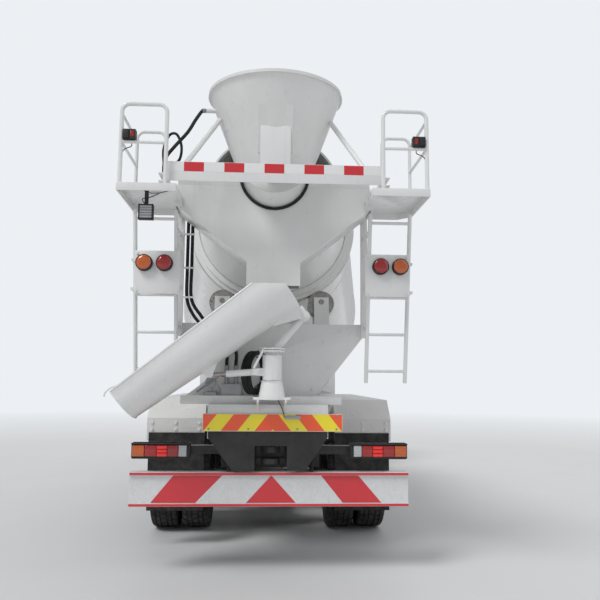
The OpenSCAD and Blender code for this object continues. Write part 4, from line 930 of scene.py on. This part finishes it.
def bolts():
    """Bolt heads on panels, plates and brackets, and the screws of the marking board."""
    heads, screws = Pile(), Pile()
    groups = [(BACK, 0.016, [(x, MUDGUARD_REAR, z) for x in (0.69, 0.92, 1.15)
                             for z in (1.110, 1.175)]),
              (RIGHT, 0.018, [(0.4245, y, 1.34) for y in (-3.45, -3.30)]),
              (BACK, 0.014, [(0.812, COLUMN_REAR, z) for z in (2.10, 2.40, 2.70, 3.00)]),
              (BACK, 0.012, [(x, PANEL_FACE, z) for x in (0.785, 1.115) for z in (2.315, 2.620)]),
              (BACK, 0.016, [(0.46, STAND_FACE, 1.93), (0.36, STAND_FACE, 1.52),
                             (0.60, STAND_FACE, 2.03)])]
    for axis, d, places in groups:
        for at in places:
            heads.bolt(at, axis, d)
    heads.piece("bolt_heads", WHITE, mirrored=True)
    for x in (-0.52, -0.19, 0.22, 0.55):
        for z in (1.19, 1.297):
            screws.bolt((x, BOARD_FACE - FILM, z), BACK, 0.007)
    screws.piece("board_screws", STEEL)


def welds():
    """Weld beads where plates meet."""
    pile = Pile()
    plate, column, base, base_z = STAND_FACE - 0.001, COLUMN_REAR - 0.001, -3.831, 1.461
    for s, _ in SIDES:
        pile.tube([(s * 0.400, plate, 1.462), (s * 0.500, plate, 1.590)], 0.007, 6, 8)
        pile.tube([(s * 0.785, column, 2.000), (s * 0.785, column, 3.180)], 0.005, 6, 8)
        pile.tube([(s * 0.135, -4.512, 3.420), (s * 0.135, -4.62, 3.700)], 0.006, 6, 8)
    for x0, x1 in ((-0.76, -0.112), (0.112, 0.59)):
        pile.tube([(x0, base, base_z), (x1, base, base_z)], 0.006, 6, 8)
    post_r, post_z = 0.092, 1.589
    pile.tube([(post_r * cos(a), POST_Y + post_r * sin(a), post_z) for a in angles(24, 25)],
              0.006, 6, 1)
    pile.piece("weld_beads", WHITE)


def small_lamps():
    """Work lamp glass, box lamps on the hoops and the lamp over the board, with their cables."""
    glassy, black, red, grey = Pile(), Pile(), Pile(), Pile()
    # Work lamp: glass, four louvres, a frame of two upright and two level bars, two cables
    glassy.box((-1.032, -4.5425, 2.819), (-0.938, -4.5395, 2.917))
    for k in range(4):
        z = 2.838 + 0.020 * k
        black.box((-1.034, -4.546, z), (-0.936, -4.5425, z + 0.0025))
    x0, x1, z0, z1 = -1.041, -0.929, 2.809, 2.927
    for a, b, c, d in ((x0, x0 + 0.010, z0, z1), (x1 - 0.010, x1, z0, z1),
                       (x0, x1, z1 - 0.011, z1 - 0.001), (x0, x1, z0, z0 + 0.010)):
        black.box((a, -4.547, c), (b, -4.536, d))
    black.tube([(-0.99, -4.51, 2.925), (-1.02, -4.50, 2.975), (-0.96, -4.49, 2.995),
                (-0.90, -4.47, 3.030)], 0.008, 6)
    black.tube([(-0.80, -4.60, 3.02), (-0.88, -4.62, 2.992), (-0.97, -4.61, 3.000),
                (-1.02, -4.58, 3.05)], 0.007, 6)
    # Board lamp
    grey.rod((0.110, -3.945, 1.288), (0.245, -3.945, 1.288), 0.030)
    grey.box((0.150, -3.944, 1.276), (0.205, -3.9125, 1.300))
    black.tube([(0.11, -3.94, 1.29), (0.09, -3.93, 1.36), (0.06, -3.90, 1.42), (0.06, -3.86, 1.46)],
               0.008, 6)
    # Hoop lamps
    for s, _ in SIDES:
        red.box((s * 1.070, -4.6745, 3.410), (s * 1.096, -4.6715, 3.456))
        black.box((s * 1.108, -4.680, 3.398), (s * 1.148, -4.6715, 3.465))
        black.tube([(s * 1.10, -4.62, 3.394), (s * 1.10, -4.60, 3.36), (s * 1.16, -4.63, 3.30),
                    (s * 1.168, -4.63, 3.10)], 0.008, 6)
    glassy.piece("work_lamp_glass", LENS_CLEAR)
    black.piece("lamp_frames", BLACK_PLASTIC, 0.0012)
    red.piece("hoop_lamp_lenses", LENS_RED, 0.002)
    grey.piece("board_lamp", LAMP_GREY, 0.002)


# Drum and tanks

def drum_marks():
    """Weld seams of the shell, the worn track of the roller ring and the bolts of the hatch."""
    seams, track, hatch = Pile(), Pile(), Pile()
    u, v, w = frame_of(DRUM_BACK)
    for at, radius in SHELL:
        middle = DRUM_START + DRUM_BACK * at
        seams.tube([middle + (u * cos(a) + v * sin(a)) * radius for a in angles(72, 73)],
                   0.010, 6, 1)
    for turn, part in ((0.4, 0), (2.2, 1), (4.1, 2), (1.1, 2)):
        out = u * cos(turn) + v * sin(turn)
        ends = [DRUM_START + w * at + out * radius for at, radius in SHELL[part:part + 2]]
        seams.tube(ends, 0.009, 6, 10)
    seams.piece("drum_seams", DRUM_WHITE, body="drum")
    half, low, worn = 0.036, RING_R - 0.01, RING_R + 0.0006
    track.lathe(DRUM_START + DRUM_BACK * RING_AT, DRUM_BACK,
                [(-half, low), (-half, worn), (half, worn), (half, low)], 96)
    track.piece("ring_track", BRIGHT, body="drum")
    turn, hatch_at, hatch_out = radians(55.0), 1.940, 1.166
    out = Vector((-1, 0, 0)) * cos(turn) - DRUM_UP * sin(turn)
    across = out.cross(DRUM_BACK)
    face = DRUM_START + DRUM_BACK * hatch_at + out * hatch_out
    for i in range(-2, 3):
        for s, _ in SIDES:
            hatch.bolt(face + DRUM_BACK * (0.105 * i) + across * (0.150 * s), out, 0.018)
    hatch.piece("hatch_bolts", STEEL, body="drum")


def tank_straps():
    """Straps and cap of the fuel tank, bands of the water tank."""
    straps, cap, bands = Pile(), Pile(), Pile()
    x0, x1, z0, z1, r = -1.182, -0.483, 0.498, 1.062, 0.132
    corners = ((x1 - r, z1 - r), (x0 + r, z1 - r), (x0 + r, z0 + r), (x1 - r, z0 + r))
    outline = [(x + r * cos(radians(90 * i + 15 * k)),
                z + r * sin(radians(90 * i + 15 * k)))
               for i, (x, z) in enumerate(corners) for k in range(7)]
    for y in (1.080, 1.580):
        straps.plate(outline, y, 0.045)
    rings = [(0, 0), (0, 0.052), (0.016, 0.055), (0.026, 0.050), (0.028, 0)]
    cap.lathe((-1.040, 1.500, 1.086), UP, rings, 24)
    cap.box((-1.075, 1.494, 1.110), (-1.005, 1.506, 1.124))
    straps.piece("tank_straps", STEEL)
    cap.piece("tank_cap", BLACK_PLASTIC, 0.002)
    tank_x, tank_z, wide, low, high = 0.860, 1.150, 0.04, 0.26, 0.2735
    for y in (1.00, 1.35, 1.70):
        bands.lathe((tank_x, y - wide / 2, tank_z), AHEAD,
                    [(0, low), (0, high), (wide, high), (wide, low)], 64)
    bands.piece("water_tank_bands", STEEL)


# Cab

def cab_details():
    """Door grips, marker lamps, grille mesh, mirror glass and the lamps of the front."""
    black, amber, turn_lamps, clear, bright, mirror_glass = (Pile() for _ in range(6))
    black.box((-0.616, CAB_FRONT - 0.042, 1.184), (0.616, CAB_FRONT - 0.0405, 1.556))
    bowl = [(0, 0), (0, 0.030), (0.006, 0.050), (0.0062, 0.046), (0.002, 0)]
    for s, word in SIDES:
        skin, out = s * (HALF_CAB - 0.004), s * (HALF_CAB + 0.028)
        grip = Pile()
        grip.tube([(skin, 3.200, 1.700), (out, 3.215, 1.700), (out, 3.345, 1.700),
                   (skin, 3.360, 1.700)], 0.022, steps=5)
        grip.box((s * (HALF_CAB - 0.002), 3.190, 1.665), (s * (HALF_CAB + 0.002), 3.370, 1.735))
        grip.piece("door_grip_" + word, BLACK_PLASTIC, body="door_" + word)
        mirror_glass.box((s * 1.300, 4.3285, 1.862), (s * 1.440, 4.3305, 2.338))
        for x in (0.845, 0.955):
            bright.lathe((s * x, 4.735, 0.820), AHEAD, bowl, 28)
        for pile, x0, x1 in ((clear, 0.7765, 1.010), (turn_lamps, 1.014, 1.0585)):
            pile.box((s * x0, 4.7405, 0.7365), (s * x1, 4.746, 0.9035))
    for x in (-0.67, 0.67, 0.0):
        amber.box((x - 0.05, 4.262, 2.952), (x + 0.05, 4.300, 2.985))
    black.piece("grille_mesh", BLACK_PLASTIC, body="cab")
    mirror_glass.piece("mirror_glass", MIRROR, body="cab")
    bright.piece("head_lamp_bowls", ALUMINIUM)
    clear.piece("head_lamp_covers", LENS_CLEAR, 0.002)
    amber.piece("roof_marker_lamps", LENS_AMBER, 0.003, body="cab")
    turn_lamps.piece("front_turn_lamps", LENS_AMBER, 0.002)


def screen_point(x, z, out):
    """A point on the cab's leaning front skin with its round corners, moved out along the truck."""
    waist, knee = 1.560, 2.020
    if z < knee:
        lean = 0.030 * (z - waist) / (knee - waist)
    else:
        lean = 0.030 + 0.2824 * (z - knee)
    turn = max(0.0, abs(x) - HALF_CAB + CAB_CORNER)
    bulge = sqrt(CAB_CORNER ** 2 - turn ** 2)
    return Vector((x, CAB_FRONT - lean - CAB_CORNER + bulge + out, z))


def windscreen():
    """Rubber seal round the windscreen and two parked wipers."""
    seal, wipers = Pile(), Pile()
    corners = [(-1.082, 1.758), (1.082, 1.758), (1.023, 2.692), (-1.023, 2.692)]
    stops = (0.0, 0.01, 0.05, 0.10, 0.16, 0.30, 0.50, 0.70, 0.84, 0.90, 0.95, 0.99)
    path = [screen_point(x0 + (x1 - x0) * t, z0 + (z1 - z0) * t, -0.014)
            for (x0, z0), (x1, z1) in zip(corners, corners[1:] + corners[:1]) for t in stops]
    seal.tube(path + path[:1], 0.024, steps=2)
    seal.piece("windscreen_seal", SEALER, body="cab")
    pivot = [(0, 0), (0, 0.020), (0.020, 0.016), (0.024, 0)]
    arm = [(0.0, 1.700, 0.012), (0.08, 1.735, 0.016), (0.36, 1.800, 0.004)]
    blade = [(0.02, 1.778, -0.006), (0.36, 1.798, -0.006), (0.68, 1.822, -0.006)]
    for x in (-0.78, -0.06):
        wipers.lathe(screen_point(x, 1.700, -0.004), (0, 1, 0.1), pivot, 16)
        for points, d in ((arm, 0.012), (blade, 0.011)):
            wipers.tube([screen_point(x + dx, z, out) for dx, z, out in points], d, steps=5)
    wipers.piece("wipers", BLACK_PLASTIC, body="cab")


def cushion(name, middle, half, lean=0.0):
    """Padded seat part: a crowned closed form with sewn channels."""
    bm = bmesh.new()
    bmesh.ops.create_cube(bm, size=2.0)
    bmesh.ops.subdivide_edges(bm, edges=bm.edges, cuts=13, use_grid_fill=True)
    thin = min(range(3), key=lambda i: half[i])
    wide = [i for i in range(3) if i != thin]
    for vert in bm.verts:
        co = vert.co / sum(abs(c) ** 7 for c in vert.co) ** (1 / 7)
        inner = (1 - co[wide[0]] ** 4) * (1 - co[wide[1]] ** 4)
        channel = 0.06 * (cos(co[wide[0]] * pi * 3) ** 12)
        co[thin] *= 0.82 + 0.18 * inner - channel * inner
        vert.co = Vector((co[0] * half[0], co[1] * half[1], co[2] * half[2]))
    bm.transform(Matrix.Translation(middle) @ Matrix.Rotation(lean, 4, "X"))
    made = finished(name, mesh_of(name, bm, SEAT_CLOTH), "cab", angle=60.0)
    return made


def seats():
    """Two sprung seats with cushions, backs and head rests over plain boxes."""
    base, rods = Pile(), Pile()
    for s, word in SIDES:
        x = s * SEAT_X
        seat = cushion("seat_cushion_" + word, (x, 3.450, 1.492), (0.243, 0.265, 0.066))
        cushion("seat_back_" + word, (x, 3.195, 1.845), (0.238, 0.062, 0.335), radians(9.5))
        cushion("head_rest_" + word, (x, 3.135, 2.292), (0.122, 0.036, 0.100), radians(5.0))
        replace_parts(seat, "seats")
        base.box((x - 0.212, 3.175, 1.2405), (x + 0.212, 3.675, 1.340))
        for k in range(4):
            z, half = 1.345 + 0.024 * k, 0.200 - 0.003 * k
            base.box((x - half, 3.190, z), (x + half, 3.660, z + 0.018))
        for dx in (-0.05, 0.05):
            rods.rod((x + dx, 3.150, 2.150), (x + dx, 3.137, 2.240), 0.012, 10)
    base.piece("seat_bases", BLACK_PLASTIC, 0.004, body="cab")
    rods.piece("head_rest_rods", STEEL, body="cab")


# Studio

def studio():
    """Floor, background and soft light."""
    bpy.ops.mesh.primitive_plane_add(size=120.0, location=(0, 0, -0.0005))
    floor = bpy.context.object
    floor.name = "studio_floor"
    floor.data.materials.append(floor_look())
    world = bpy.data.worlds.new("studio")
    scene.world = world
    world.use_nodes = True
    sky = Nodes(world.node_tree)
    light = sky.tree.nodes["Background"]
    sky.plug((0.93, 0.96, 1.0), light.inputs["Color"])
    sky.plug(0.44, light.inputs["Strength"])
    backdrop = sky.node("ShaderNodeBackground", {"Color": BACKGROUND})
    rays = sky.node("ShaderNodeLightPath").outputs
    seen = sky.calc("MAXIMUM", rays["Is Camera Ray"], rays["Is Transmission Ray"])
    sky.show("World Output", seen, light, backdrop)
    # Direction towards each sun, strength and width in degrees
    suns = {"key": ((-0.75, -0.70, 1.15), 1.55, 22.0), "fill": ((0.9, -0.2, 0.6), 0.45, 70.0),
            "back": ((0.1, 0.9, 0.9), 0.55, 60.0)}
    for name, (towards, strength, wide) in suns.items():
        data = bpy.data.lights.new(name, "SUN")
        data.energy = strength
        data.angle = radians(wide)
        lamp = bpy.data.objects.new(name, data)
        lamp.rotation_euler = Vector(towards).to_track_quat("Z", "Y").to_euler()
        scene.collection.objects.link(lamp)
    scene.view_settings.view_transform = "Standard"


dress_frame()
tyres()
beam_tape()
bumper_marks()
board_stripes()
tail_lamps()
round_lamps()
neck_seal()
hopper_front()
tow_plate()
chute_lip()
hose_fittings()
hose_coil()
bolts()
welds()
small_lamps()
drum_marks()
tank_straps()
cab_details()
windscreen()
seats()
studio()
